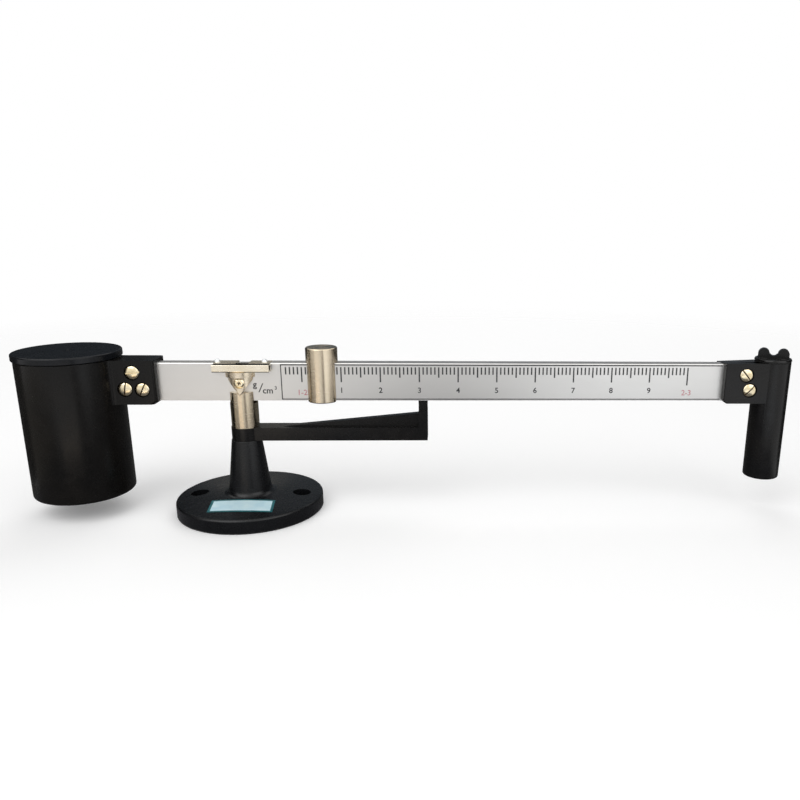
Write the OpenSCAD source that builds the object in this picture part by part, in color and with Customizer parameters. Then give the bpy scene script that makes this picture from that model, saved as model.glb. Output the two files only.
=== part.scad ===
// Mud balance: a cup of drilling mud is weighed against a rider on a graduated beam.
// Frame: +X along the beam towards the scale's high end, +Z up, origin under the post
// at the centre of the foot's underside. Sizes are in millimetres.

/* [Foot and post] */
// Radius of the round foot plate
base_r = 45.3; // [42:0.1:52]
// Height of the foot plate at its rim
rim_h = 9; // [8:0.5:11]
// Rounding of the rim's top edge
rim_round = 1.6; // [0.8:0.1:2.5]
// Rise of the foot's top from the rim to the post
dish_rise = 2.6; // [1.5:0.1:3.5]
// Radius of the post at its foot
foot_r = 13.4; // [12:0.1:16]
// Radius of the post at its top
neck_r = 9.2; // [9:0.1:10.5]
// Height of the post's top above the table
post_h = 46.5; // [42:0.5:60]
// Radius of the fillet between post and foot
foot_fillet = 3.5; // [1.5:0.5:5]
// Distance between the centres of the two fixing holes
hole_span = 64.8; // [60:0.2:68]
// Radius of the fixing holes
hole_r = 2.75; // [2.2:0.05:3.5]
// Radius of the counterbores over the fixing holes
cbore_r = 5.6; // [4.8:0.1:6.5]
// Height of the counterbores' floor above the table
cbore_floor = 5; // [3.5:0.5:6]

/* [Column bolt] */
// Radius of the column bolt's shank
bolt_r = 3; // [2.5:0.25:3.5]
// Width of the bolt's hexagon head across its corners
bolt_head_w = 11.5; // [10:0.5:12.5]
// Height of the bolt's head
bolt_head_h = 4; // [3:0.5:5]
// Radius of the washer
washer_r = 7; // [6.5:0.25:8]
// Thickness of the washer
washer_t = 1.2; // [0.8:0.1:1.6]
// Radius of the recess under the foot
recess_r = 8.5; // [8.2:0.1:10]
// Depth of the recess under the foot
recess_h = 7.5; // [7:0.5:9]
// Length of the bolt inside the knife seat
bolt_grip = 9; // [6:0.5:11]

/* [Rest arm] */
// Radius of the arm's ring
ring_r = 8.8; // [8.4:0.1:9.2]
// Height of the arm's ring and rib
ring_h = 8.3; // [7:0.1:10]
// Distance from the post's axis to the arm's far end
arm_reach = 114; // [95:1:130]
// Width of the arm across the beam
arm_w = 12; // [10:0.5:14]
// Thickness of the raking web
web_t = 4.5; // [3:0.5:6]
// Distance from the post's axis to the web's low end
web_start = 22; // [16:1:40]
// Height of the web above the rib, at the stop
web_rise = 8.6; // [5:0.1:9.5]
// Thickness of the end block along the beam
block_t = 5.5; // [4:0.5:8]
// Height of the end block above the rib
block_rise = 10.6; // [9.8:0.1:12]
// Width of the stop across the beam
stop_w = 8; // [5:0.5:8.4]
// Gap between the stop and the resting beam
stop_gap = 0.3; // [0.2:0.05:0.5]

/* [Knife seat] */
// Radius of the knife seat
seat_r = 8.4; // [8:0.1:9]
// Height of the knife seat above the ring
seat_h = 22.7; // [20:0.1:26]
// Radius of the seat's spigot
spigot_r = 6; // [5:0.25:6.5]
// Depth of the spigot in the post
spigot_sink = 4; // [3:0.5:6]
// Depth of the V seats
notch_depth = 1.5; // [1.2:0.1:2]
// Full angle of the V seats
notch_angle = 104; // [100:1:120]
// Gap between the knife line and the bottom of its seat
knife_gap = 0.25; // [0.2:0.05:0.4]
// Gap beside the beam in the seat's slot
slot_side_gap = 0.3; // [0.25:0.05:0.5]
// Gap under the beam in the seat's slot
slot_under_gap = 1.8; // [1.5:0.1:2.5]

/* [Beam] */
// Thickness of the beam
beam_t = 8.5; // [8:0.1:9]
// Height of the beam
beam_h = 23.5; // [22:0.5:26]
// Wall of the beam's tube
beam_wall = 1.5; // [1.2:0.1:2]
// Height of the knife line above the beam's lower edge
beam_drop = 4.3; // [3.5:0.1:5]
// Distance of the beam's ends from the sides of the cup and the tail tube
end_setback = 1.2; // [0.8:0.1:2]

/* [Mud cup] */
// Distance from the knife line to the cup's axis
cup_x = 103.4; // [95:0.1:115]
// Outer radius of the cup
cup_r = 29.35; // [27:0.05:32]
// Wall of the cup
cup_wall = 5.35; // [3:0.05:6]
// Depth of the cup
cup_depth = 78.3; // [70:0.1:80]
// Thickness of the cup's floor
cup_floor = 7.4; // [4:0.1:8]
// Height of the cup's rim above the beam's top
cup_rim_rise = 2.6; // [2.4:0.1:4]
// Rounding of the cup's lower edge
cup_round = 2; // [1:0.25:3]
// Length of the cup's socket outside the cup wall
cup_socket_l = 24.75; // [23:0.25:32]

/* [Lid] */
// Radius of the lid
lid_r = 30.3; // [29.3:0.05:33]
// Thickness of the lid
lid_t = 4; // [3:0.1:5]
// Rounding of the lid's top edge
lid_round = 0.9; // [0.6:0.1:1.8]
// Gap under and around the lid
lid_gap = 0.2; // [0.15:0.05:0.4]
// Height of the ring under the lid
lid_ring_h = 5; // [4.5:0.5:7]
// Wall of the ring under the lid
lid_ring_t = 2; // [1.5:0.25:3]
// Radius of the vent hole
vent_r = 1.25; // [0.8:0.05:1.6]

/* [Sockets] */
// Wall of the sockets beside the beam
socket_side = 5.25; // [4.5:0.25:6]
// Wall of the sockets under the beam
socket_under = 0.95; // [0.8:0.05:1.6]
// Wall of the cup's socket over the beam
socket_over = 2.1; // [0.8:0.1:2.2]
// Chamfer of the sockets' lower corner
socket_chamfer = 2.4; // [1.5:0.1:3]
// Depth of the sockets' screw seats
screw_seat = 2; // [1.6:0.1:2.4]

/* [Brass screws] */
// Radius of the brass screws' heads
screw_head_r = 3.75; // [3.2:0.05:4]
// Height of the brass screws' heads
screw_head_h = 2.3; // [2:0.1:2.8]
// Height of the sloped crown on the heads
crown_h = 0.9; // [0.5:0.1:1.2]
// Inset of the crown's top from the head's side
crown_inset = 1.05; // [0.6:0.05:1.4]
// Gap around the heads in their seats
screw_head_gap = 0.35; // [0.2:0.05:0.5]
// Radius of the brass screws' shanks
screw_r = 1.9; // [1.5:0.1:2.2]
// Length of the brass screws' shanks
screw_l = 14; // [12:0.5:14.5]
// Width of the slots in the heads
slot_w = 0.9; // [0.6:0.05:1.2]
// Depth of the slots in the heads
slot_d = 1; // [0.6:0.1:1.3]

/* [Tail tube] */
// Distance from the knife line to the tail tube's axis
tail_x = 332.65; // [315:0.05:345]
// Outer radius of the tail tube
tube_r = 11.1; // [10.2:0.1:12]
// Wall of the tail tube
tube_wall = 2.7; // [1.8:0.1:3]
// Length of the tail tube
tube_l = 76; // [65:0.1:85]
// Height of the tail tube's rim above the beam's top
tube_rise = 1.2; // [1:0.1:2]
// Thickness of the tail tube's floor
tube_floor = 4; // [3:0.25:6]
// Rounding of the tail tube's lower edge
tube_round = 1.2; // [0.6:0.1:2]
// Length of the tail socket outside the tube
tail_socket_l = 21.75; // [20:0.25:28]
// Wall of the tail socket over the beam, at its front
tail_over = 1.6; // [0.8:0.1:2.2]
// Wall of the tail socket over the beam, at its open end
tail_lip = 0.4; // [0.3:0.05:0.8]
// Length of the tail socket's rise from its open end
tail_ramp = 5; // [2:0.5:8]
// Fall of the tail socket's top from front to back
tail_fall = 1.4; // [0:0.1:1.4]
// Radius of the lead shot
shot_r = 2.6; // [2:0.05:2.7]
// Number of layers of lead shot
shot_layers = 4; // [1:1:6]
// Gap between one shot and the next
shot_gap = 0.05; // [0.05:0.01:0.15]

/* [Wing plug] */
// Radius of the plug's shoulder
shoulder_r = 11.5; // [10.9:0.1:12]
// Thickness of the plug's shoulder
shoulder_t = 1.4; // [1:0.1:2.5]
// Draft of the shoulder's side
shoulder_draft = 0.6; // [0.2:0.1:1]
// Length of the plug's threaded spigot
plug_l = 8; // [6:0.5:12]
// Gap around the plug's spigot
plug_gap = 0.1; // [0.08:0.01:0.2]
// Thickness of the plug's washer
plug_washer_t = 0.7; // [0.5:0.05:1.2]
// Inset of the washer from the tube's side
washer_inset = 0.2; // [0.1:0.05:0.5]
// Width of the wing plate
wing_w = 18.6; // [16:0.2:21]
// Height of the wing plate over the shoulder
wing_h = 6.8; // [5.5:0.1:9]
// Thickness of the wing plate
wing_t = 4.4; // [3:0.1:6]
// Radius of the wing's two lobes
lobe_r = 3.4; // [2.8:0.1:3.8]
// Radius of the hollow between the lobes
hollow_r = 2.6; // [2:0.1:3.4]
// Height of the hollow's centre above the lobes' centres
hollow_rise = 1.3; // [0.2:0.1:1.8]
// Turn of the wing plate about the tube's axis
wing_turn = -20; // [-45:1:45]

/* [Knife blocks] */
// Radius of the knife blocks
block_r = 8.6; // [8:0.1:9.2]
// Radius of the blocks' collar
collar_r = 9.9; // [9.4:0.1:10.5]
// Height of the collar
collar_h = 3.3; // [2.5:0.1:3.8]
// Height of the round band between the knife wedge and the collar
band_h = 0.3; // [0.2:0.1:0.6]
// Full angle of the knife edge
knife_angle = 79; // [70:1:82]
// Height of the blocks' screws above the knife line
knife_screw_z = 7.35; // [6.5:0.05:7.8]
// Radius of the blocks' screw heads
knife_head_r = 3.1; // [2.6:0.1:3.4]
// Height of the blocks' screw heads
knife_head_h = 1.4; // [1:0.1:1.8]
// Radius of the blocks' screw shanks
knife_shank_r = 1.5; // [1.2:0.1:1.8]
// Height of the sloped crown on the blocks' screw heads
knife_crown_h = 0.6; // [0.4:0.1:0.9]
// Inset of that crown's top
knife_crown_inset = 0.9; // [0.5:0.1:1.2]
// Gap around the blocks' screw heads
knife_head_gap = 0.2; // [0.15:0.05:0.4]
// Length of the cross recess
cross_l = 3.4; // [2.6:0.1:4]
// Width of the cross recess
cross_w = 0.7; // [0.5:0.05:1]
// Depth of the cross recess
cross_d = 0.9; // [0.5:0.05:1.1]
// Turn of the cross recess
cross_turn = 20; // [0:5:45]

/* [Spirit level] */
// Length of the level's bar
level_l = 34.1; // [30:0.1:38]
// Offset of the bar's middle from the knife line
level_shift = 1.45; // [0:0.05:2]
// Height of the bar
level_h = 5.15; // [4.9:0.05:5.6]
// Thickness of the plate over the beam
level_plate_t = 0.8; // [0.5:0.1:1]
// Wall between the vial's bore and the beam's face
bore_wall = 0.55; // [0.4:0.05:0.8]
// Width of the sight window
window_w = 7.5; // [6:0.5:10]
// Depth of the sight window across the bar
window_d = 2.6; // [2:0.1:3]
// Offset of the window's middle from the knife line
window_shift = 1.65; // [-1:0.05:4]
// Outer radius of the glass vial
vial_r = 1.7; // [1.5:0.05:1.8]
// Wall of the glass vial
vial_wall = 0.4; // [0.3:0.05:0.5]
// Length of the glass vial
vial_l = 28; // [24:0.5:29]
// Length of the vial's stoppers
stopper_l = 3; // [2:0.5:4]
// Gap between the glass and what it holds
vial_fit = 0.03; // [0.02:0.01:0.08]
// Length of the bubble
bubble_l = 3.6; // [2.5:0.1:5]
// Radius of the bubble
bubble_r = 0.75; // [0.5:0.05:0.9]
// Distance between the level's two screws
level_screw_span = 28.6; // [26:0.1:30]
// Radius of the level's screw heads
level_head_r = 1.8; // [1.5:0.05:2.1]
// Radius of the level's screw shanks
level_shank_r = 0.95; // [0.8:0.05:1.2]

/* [Rider] */
// Radius of the rider
rider_r = 9.7; // [9:0.1:11]
// Height of the rider
rider_h = 33.8; // [32:0.1:38]
// Drop of the rider's cheeks below the beam
rider_drop = 0.95; // [0.4:0.05:1.2]
// Gap between the rider and the beam
rider_gap = 0.3; // [0.25:0.05:0.4]
// Chamfer of the rider's ends
rider_chamfer = 0.5; // [0.3:0.1:1]
// Distance from the knife line to the rider's axis at rest
rider_x = 49.1; // [38:0.1:280]

/* [Hidden] */
$fn = 96;
// Overshoot of a cut past the face that it opens, and radial play of a fixed fit
over = 1;
play = 0.1;
// Sinking of a joined form into its neighbour, and room past the end of a blind thread
sink = 0.5;
thread_relief = 0.5;

// Heights that stack up from the table to the knife line
ring_top = post_h + ring_h;
seat_top = ring_top + seat_h;
knife_z = seat_top - notch_depth + knife_gap;
beam_z = knife_z - beam_drop;
beam_top = beam_z + beam_h;
beam_mid = beam_z + beam_h / 2;

// Cup, lid and their socket
cup_rim = beam_top + cup_rim_rise;
cup_bottom = cup_rim - cup_depth - cup_floor;
cup_inner_r = cup_r - cup_wall;
cup_side_x = -cup_x + cup_r;
cup_socket_x = cup_side_x + cup_socket_l;
lid_z = cup_rim + lid_gap;
lid_ring_r = cup_inner_r - lid_gap;

// Tail tube, plug and their socket
tube_top = beam_top + tube_rise;
tube_bottom = tube_top - tube_l;
tube_inner_r = tube_r - tube_wall;
tail_side_x = tail_x - tube_r;
tail_socket_x = tail_side_x - tail_socket_l;
shot_floor = tube_bottom + tube_floor;
shoulder_z = tube_top + plug_washer_t + plug_gap;

// Ends of the beam, inside the two sockets
beam_x0 = cup_side_x + end_setback;
beam_x1 = tail_side_x - end_setback;
beam_l = beam_x1 - beam_x0;

// Sockets
socket_w = beam_t + 2 * socket_side;
seat_hole_r = screw_head_r + screw_head_gap;
// Places of the screws, from the socket's open end and the beam's middle height, and their slots' turns
cup_screw_at = [[12.8, 7, 4], [17.9, -3, 98], [7.8, -3.6, 62]];
tail_screw_at = [[12.7, 5.7, -45], [15.7, -3.5, -40]];

// Knife blocks and level
wedge_h = block_r / tan(knife_angle / 2);
collar_z = knife_z + wedge_h + band_h;
collar_top = collar_z + collar_h;
level_z = beam_top - level_h;
level_x0 = level_shift - level_l / 2;
bar_r = level_h / 2;
vial_y = -(beam_t / 2 + vial_r + play + bore_wall);
vial_z = level_z + bar_r;
liquid_r = vial_r - vial_wall - vial_fit;
knife_seat_y = block_r - knife_head_h;

// A rounded disc or tube profile about the Z axis, with its lower or upper edge rounded
module round_profile(r, h, low = 0, high = 0) {
    difference() {
        square([r, h]);
        if (low > 0) translate([r - low, 0]) corner_cut(low, -1);
        if (high > 0) translate([r - high, h]) corner_cut(high, 1);
    }
}

// What a rounding of radius c takes off an outer corner, side -1 below and 1 above
module corner_cut(c, side) {
    difference() {
        translate([0, side > 0 ? -c : -over]) square([c + over, c + over]);
        translate([0, -side * c]) circle(c);
    }
}

// A round pin along Y, from y0 to y1
module pin_y(r, y0, y1) {
    translate([0, y0, 0]) rotate([-90, 0, 0]) cylinder(r = r, h = y1 - y0);
}

// Round foot plate and tapered post in one casting
module base() {
    color([0.09, 0.09, 0.1]) difference() {
        rotate_extrude() {
            round_profile(base_r, rim_h, high = rim_round);
            polygon([[0, rim_h - over], [base_r - rim_round, rim_h - over],
                [base_r - rim_round, rim_h], [foot_r, rim_h + dish_rise],
                [neck_r, post_h], [0, post_h]]);
            foot_fillet_profile();
        }
        translate([0, 0, -over]) cylinder(r = bolt_r + play, h = post_h + 2 * over);
        translate([0, 0, -over]) cylinder(r = recess_r, h = recess_h + over);
        translate([0, 0, post_h - spigot_sink]) cylinder(r = spigot_r + play, h = spigot_sink + over);
        for (side = [-1, 1]) translate([side * hole_span / 2, 0, 0]) {
            translate([0, 0, -over]) cylinder(r = hole_r, h = rim_h + dish_rise + 2 * over);
            translate([0, 0, cbore_floor]) cylinder(r = cbore_r, h = rim_h + dish_rise);
        }
    }
}

// Hollow fillet that carries the foot's top up into the post, tangent to both
module foot_fillet_profile() {
    corner = [foot_r, rim_h + dish_rise];
    out = [base_r - rim_round, rim_h] - corner;
    up = [neck_r, post_h] - corner;
    half = acos(out * up / norm(out) / norm(up)) / 2;
    between = out / norm(out) + up / norm(up);
    reach = foot_fillet / tan(half);
    middle = corner + between / norm(between) * foot_fillet / sin(half);
    difference() {
        polygon([corner - sink * between, corner + reach * out / norm(out), middle,
            corner + reach * up / norm(up)]);
        translate(middle) circle(foot_fillet);
    }
}

// Plate washer in the recess under the foot
module column_washer() {
    color([0.6, 0.6, 0.62]) translate([0, 0, recess_h - washer_t]) difference() {
        cylinder(r = washer_r, h = washer_t);
        translate([0, 0, -over]) cylinder(r = bolt_r + play, h = washer_t + 2 * over);
    }
}

// Hexagon-head bolt up through the post into the knife seat
module column_bolt() {
    head_top = recess_h - washer_t;
    color([0.55, 0.55, 0.57]) {
        translate([0, 0, head_top - bolt_head_h]) cylinder(r = bolt_head_w / 2, h = bolt_head_h, $fn = 6);
        translate([0, 0, head_top]) cylinder(r = bolt_r, h = ring_top + bolt_grip - head_top);
    }
}

// Arm with ring, rib, raking web, end block and stop
module rest_arm() {
    stop_x = arm_reach - block_t;
    color([0.08, 0.08, 0.09]) difference() {
        union() {
            translate([0, 0, post_h]) cylinder(r = ring_r, h = ring_h);
            translate([0, -arm_w / 2, post_h]) cube([arm_reach, arm_w, ring_h]);
            translate([0, web_t / 2, 0]) rotate([90, 0, 0]) linear_extrude(web_t)
                polygon([[web_start, ring_top - over], [web_start, ring_top],
                    [stop_x, ring_top + web_rise], [arm_reach, ring_top + web_rise],
                    [arm_reach, ring_top - over]]);
            translate([stop_x, -arm_w / 2, post_h]) cube([block_t, arm_w, ring_h + block_rise]);
            translate([stop_x, -stop_w / 2, post_h]) cube([block_t, stop_w, beam_z - stop_gap - post_h]);
        }
        translate([0, 0, post_h - over]) cylinder(r = spigot_r + play, h = ring_h + 2 * over);
    }
}

// Turned head, slotted for the beam, with a V seat in each half of its rim
module knife_seat() {
    slot_z = beam_z - slot_under_gap;
    slot_half = beam_t / 2 + slot_side_gap;
    notch_low = knife_z - knife_gap;
    notch_half = (notch_depth + over) * tan(notch_angle / 2);
    color([0.72, 0.68, 0.6]) difference() {
        union() {
            translate([0, 0, ring_top]) cylinder(r = seat_r, h = seat_h);
            translate([0, 0, post_h - spigot_sink]) cylinder(r = spigot_r, h = ring_h + spigot_sink);
        }
        translate([-seat_r - over, -slot_half, slot_z]) cube([2 * (seat_r + over), 2 * slot_half, seat_top]);
        translate([0, seat_r + over, 0]) rotate([90, 0, 0]) linear_extrude(2 * (seat_r + over))
            polygon([[0, notch_low], [notch_half, seat_top + over], [-notch_half, seat_top + over]]);
        translate([0, 0, post_h - spigot_sink - over])
            cylinder(r = bolt_r + play, h = spigot_sink + ring_h + bolt_grip + 2 * over);
    }
}

// Rectangular tube with screw holes at both ends and at the knife blocks
module beam_bar() {
    color([0.82, 0.81, 0.79]) difference() {
        translate([beam_x0, -beam_t / 2, beam_z]) cube([beam_l, beam_t, beam_h]);
        translate([beam_x0 - over, -beam_t / 2 + beam_wall, beam_z + beam_wall])
            cube([beam_l + 2 * over, beam_t - 2 * beam_wall, beam_h - 2 * beam_wall]);
        translate([level_x0 - play, -beam_t, beam_top - level_plate_t])
            cube([level_l + 2 * play, 2 * beam_t, level_plate_t + over]);
        for (at = cup_screw_at) cup_screw_place(at) pin_y(screw_r + play, -beam_t, beam_t);
        for (at = tail_screw_at) tail_screw_place(at) pin_y(screw_r + play, -beam_t, beam_t);
        translate([0, 0, knife_z + knife_screw_z]) pin_y(knife_shank_r + play, -beam_t, beam_t);
        for (side = [-1, 1]) translate([side * level_screw_span / 2, 0, beam_top - beam_wall - over])
            cylinder(r = level_shank_r + play, h = beam_wall + 2 * over);
    }
}

// Puts its children at one of the cup socket's screws
module cup_screw_place(at) {
    translate([cup_socket_x - at[0], 0, beam_mid + at[1]]) children();
}

// Puts its children at one of the tail socket's screws
module tail_screw_place(at) {
    translate([tail_socket_x + at[0], 0, beam_mid + at[1]]) children();
}

// Block around the beam's end, from the open end at X = 0 back to X = -l, its top
// at one height over the beam at the open end and at another past the ramp
module socket_block(l, end_over, full_over, ramp) {
    translate([0, socket_w / 2, 0]) rotate([90, 0, 0]) linear_extrude(socket_w)
        polygon([[-l, beam_z - socket_under], [-socket_chamfer, beam_z - socket_under],
            [0, beam_z - socket_under + socket_chamfer], [0, beam_top + end_over],
            [-ramp, beam_top + full_over], [-l, beam_top + full_over]]);
}

// Seat, through hole and blind thread of one socket screw
module socket_screw_cut() {
    pin_y(seat_hole_r, -socket_w / 2 - over, -socket_w / 2 + screw_seat);
    pin_y(screw_r + play, -socket_w / 2 - over, -socket_w / 2 + screw_seat + screw_l + thread_relief);
}

// Cup with the socket for the beam's left end
module mud_cup() {
    color([0.08, 0.075, 0.075]) difference() {
        union() {
            translate([-cup_x, 0, cup_bottom]) rotate_extrude()
                round_profile(cup_r, cup_depth + cup_floor, low = cup_round);
            translate([cup_socket_x, 0, 0])
                socket_block(cup_socket_l + cup_wall, socket_over, socket_over, cup_socket_l);
        }
        translate([-cup_x, 0, cup_bottom + cup_floor]) cylinder(r = cup_inner_r, h = cup_depth + over);
        translate([beam_x0, -beam_t / 2, beam_z]) cube([beam_l, beam_t, beam_h]);
        for (at = cup_screw_at) cup_screw_place(at) socket_screw_cut();
    }
}

// Slotted brass screw in a socket, its slot turned by an angle
module brass_screw(turn) {
    head_y = -socket_w / 2 + screw_seat;
    color([0.85, 0.72, 0.42]) difference() {
        union() {
            pin_y(screw_head_r, head_y - screw_head_h + crown_h, head_y);
            translate([0, head_y - screw_head_h + crown_h, 0]) rotate([90, 0, 0])
                cylinder(r1 = screw_head_r, r2 = screw_head_r - crown_inset, h = crown_h);
            pin_y(screw_r, head_y, head_y + screw_l);
        }
        translate([0, head_y - screw_head_h, 0]) rotate([0, -turn, 0])
            translate([-screw_head_r - over, -over, -slot_w / 2])
                cube([2 * (screw_head_r + over), slot_d + over, slot_w]);
    }
}

// Three brass screws of the cup's socket
module cup_screws() {
    for (at = cup_screw_at) cup_screw_place(at) brass_screw(at[2]);
}

// Two brass screws of the tail socket
module tube_screws() {
    for (at = tail_screw_at) tail_screw_place(at) brass_screw(at[2]);
}

// Tail tube with the socket for the beam's right end
module balance_tube() {
    color([0.085, 0.08, 0.075]) difference() {
        union() {
            translate([tail_x, 0, tube_bottom]) rotate_extrude()
                round_profile(tube_r, tube_l, low = tube_round);
            intersection() {
                translate([tail_socket_x, 0, 0]) mirror([1, 0, 0])
                    socket_block(tail_socket_l + tube_r, tail_lip, tail_over, tail_ramp);
                translate([tail_socket_x, 0, 0]) rotate([90, 0, 90]) linear_extrude(tail_socket_l + tube_r)
                    polygon([[-socket_w / 2, 0], [socket_w / 2, 0],
                        [socket_w / 2, beam_top + tail_over - tail_fall],
                        [-socket_w / 2, beam_top + tail_over]]);
                translate([tail_socket_x, -socket_w, 0])
                    cube([tail_x - tail_socket_x, 2 * socket_w, tube_top]);
            }
        }
        translate([tail_x, 0, shot_floor]) cylinder(r = tube_inner_r, h = tube_l);
        translate([beam_x0, -beam_t / 2, beam_z]) cube([beam_l, beam_t, beam_h]);
        for (at = tail_screw_at) tail_screw_place(at) socket_screw_cut();
    }
}

// Layers of seven shot, each layer turned against the last
module lead_shot() {
    layer_step = 2 * shot_r + shot_gap;
    color([0.35, 0.35, 0.37]) translate([tail_x, 0, shot_floor + shot_r + shot_gap])
        for (layer = [0:shot_layers - 1]) translate([0, 0, layer * layer_step]) {
            sphere(shot_r);
            for (k = [0:5]) rotate([0, 0, 60 * k + 30 * layer])
                translate([2 * (shot_r + shot_gap), 0, 0]) sphere(shot_r);
        }
}

// One half-round block in front of the beam, ground to a knife edge below
module knife_block() {
    difference() {
        union() {
            intersection() {
                translate([0, 0, knife_z]) cylinder(r = block_r, h = collar_top - knife_z);
                rotate([90, 0, 0]) linear_extrude(collar_r + over)
                    polygon([[0, knife_z], [block_r, knife_z + wedge_h], [block_r, collar_top],
                        [-block_r, collar_top], [-block_r, knife_z + wedge_h]]);
            }
            translate([0, 0, collar_z]) cylinder(r = collar_r, h = level_z - collar_z);
        }
        translate([-2 * collar_r, -beam_t / 2, 0]) cube([4 * collar_r, 2 * collar_r, 2 * knife_z]);
        translate([0, 0, level_z]) cylinder(r = 2 * collar_r, h = beam_h);
        translate([0, 0, knife_z + knife_screw_z]) {
            pin_y(knife_head_r + knife_head_gap, -collar_r - over, -knife_seat_y);
            pin_y(knife_shank_r + play, -collar_r - over, 0);
        }
    }
}

// Knife blocks in front of and behind the beam
module knife_blocks() {
    color([0.74, 0.7, 0.62]) for (side = [0, 1]) mirror([0, side, 0]) knife_block();
}

// Cross-recess screws of the knife blocks
module knife_screws() {
    crown_y = -knife_seat_y - knife_head_h + knife_crown_h;
    color([0.78, 0.72, 0.6]) for (side = [0, 1]) mirror([0, side, 0])
        translate([0, 0, knife_z + knife_screw_z]) difference() {
            union() {
                pin_y(knife_head_r, crown_y, -knife_seat_y);
                translate([0, crown_y, 0]) rotate([90, 0, 0])
                    cylinder(r1 = knife_head_r, r2 = knife_head_r - knife_crown_inset, h = knife_crown_h);
                pin_y(knife_shank_r, -knife_seat_y, -beam_t / 2 + beam_wall + over);
            }
            for (arm = [0, 90]) rotate([0, cross_turn + arm, 0])
                translate([-cross_l / 2, -knife_seat_y - knife_head_h - over, -cross_w / 2])
                    cube([cross_l, over + cross_d, cross_w]);
        }
}

// Rounded bar with the vial's bore and window, and the plate that lies on the beam
module level_holder() {
    window_x = window_shift - window_w / 2;
    color([0.76, 0.71, 0.63]) difference() {
        union() {
            translate([level_x0, vial_y, level_z]) cube([level_l, -vial_y - beam_t / 2, level_h]);
            translate([level_x0, vial_y, vial_z]) rotate([0, 90, 0]) cylinder(r = bar_r, h = level_l);
            translate([level_x0, vial_y, beam_top - level_plate_t])
                cube([level_l, beam_t / 2 - vial_y, level_plate_t]);
        }
        translate([level_x0 - over, -beam_t / 2, level_z - over])
            cube([level_l + 2 * over, beam_t, level_h - level_plate_t + over]);
        translate([level_x0 - over, vial_y, vial_z]) rotate([0, 90, 0])
            cylinder(r = vial_r + play, h = level_l + 2 * over);
        translate([window_x, vial_y - window_d / 2, vial_z]) cube([window_w, window_d, level_h]);
        translate([window_x, vial_y, beam_top - level_plate_t])
            cube([window_w, 3 * beam_t, level_plate_t + over]);
        for (side = [-1, 1]) translate([side * level_screw_span / 2, 0, level_z])
            cylinder(r = level_shank_r + play, h = level_h + over);
    }
}

// Glass tube of the spirit level
module level_vial() {
    color([0.75, 0.85, 0.8, 0.5]) translate([level_shift - vial_l / 2, vial_y, vial_z]) rotate([0, 90, 0])
        difference() {
            cylinder(r = vial_r, h = vial_l);
            translate([0, 0, -over]) cylinder(r = vial_r - vial_wall, h = vial_l + 2 * over);
        }
}

// Liquid in the vial, hollowed along its top by the bubble
module vial_liquid() {
    liquid_l = vial_l - 2 * stopper_l;
    bubble_z = liquid_r - bubble_r / 2;
    color([0.3, 0.6, 0.25, 0.7]) translate([level_shift, vial_y, vial_z]) difference() {
        translate([-liquid_l / 2, 0, 0]) rotate([0, 90, 0]) cylinder(r = liquid_r, h = liquid_l);
        translate([-bubble_l / 2, 0, bubble_z]) rotate([0, 90, 0]) cylinder(r = bubble_r, h = bubble_l);
        for (side = [-1, 1]) translate([side * bubble_l / 2, 0, bubble_z]) sphere(bubble_r);
    }
}

// Stoppers in both ends of the vial
module vial_ends() {
    color([0.85, 0.83, 0.78]) for (x = [-vial_l / 2, vial_l / 2 - stopper_l])
        translate([level_shift + x, vial_y, vial_z]) rotate([0, 90, 0]) cylinder(r = liquid_r, h = stopper_l);
}

// Round-head screws that hold the level's plate
module level_screws() {
    color([0.8, 0.78, 0.74]) for (side = [-1, 1]) translate([side * level_screw_span / 2, 0, beam_top]) {
        intersection() {
            sphere(level_head_r);
            cylinder(r = level_head_r + over, h = level_head_r + over);
        }
        translate([0, 0, -beam_wall - over]) cylinder(r = level_shank_r, h = beam_wall + over + sink);
    }
}

// Cylinder astride the beam, slotted from below
module rider() {
    rider_z = beam_z - rider_drop;
    slot_half = beam_t / 2 + rider_gap;
    color([0.7, 0.65, 0.55]) translate([rider_x, 0, 0]) difference() {
        translate([0, 0, rider_z]) rotate_extrude()
            polygon([[0, 0], [rider_r - rider_chamfer, 0], [rider_r, rider_chamfer],
                [rider_r, rider_h - rider_chamfer], [rider_r - rider_chamfer, rider_h], [0, rider_h]]);
        translate([-rider_r - over, -slot_half, rider_z - over])
            cube([2 * (rider_r + over), 2 * slot_half, beam_top + rider_gap - rider_z + over]);
    }
}

// Lid with its centring ring and vent hole
module cup_lid() {
    color([0.09, 0.095, 0.11]) translate([-cup_x, 0, lid_z]) difference() {
        union() {
            rotate_extrude() round_profile(lid_r, lid_t, high = lid_round);
            translate([0, 0, -lid_ring_h]) cylinder(r = lid_ring_r, h = lid_ring_h + over);
        }
        translate([0, 0, -lid_ring_h - over]) cylinder(r = lid_ring_r - lid_ring_t, h = lid_ring_h + over);
        translate([0, 0, -over]) cylinder(r = vent_r, h = lid_t + 2 * over);
    }
}

// Rubber washer between the tail tube and the plug
module plug_washer() {
    color([0.12, 0.12, 0.12]) translate([tail_x, 0, tube_top + plug_gap / 2]) difference() {
        cylinder(r = tube_r - washer_inset, h = plug_washer_t);
        translate([0, 0, -over]) cylinder(r = tube_inner_r, h = plug_washer_t + 2 * over);
    }
}

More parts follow.
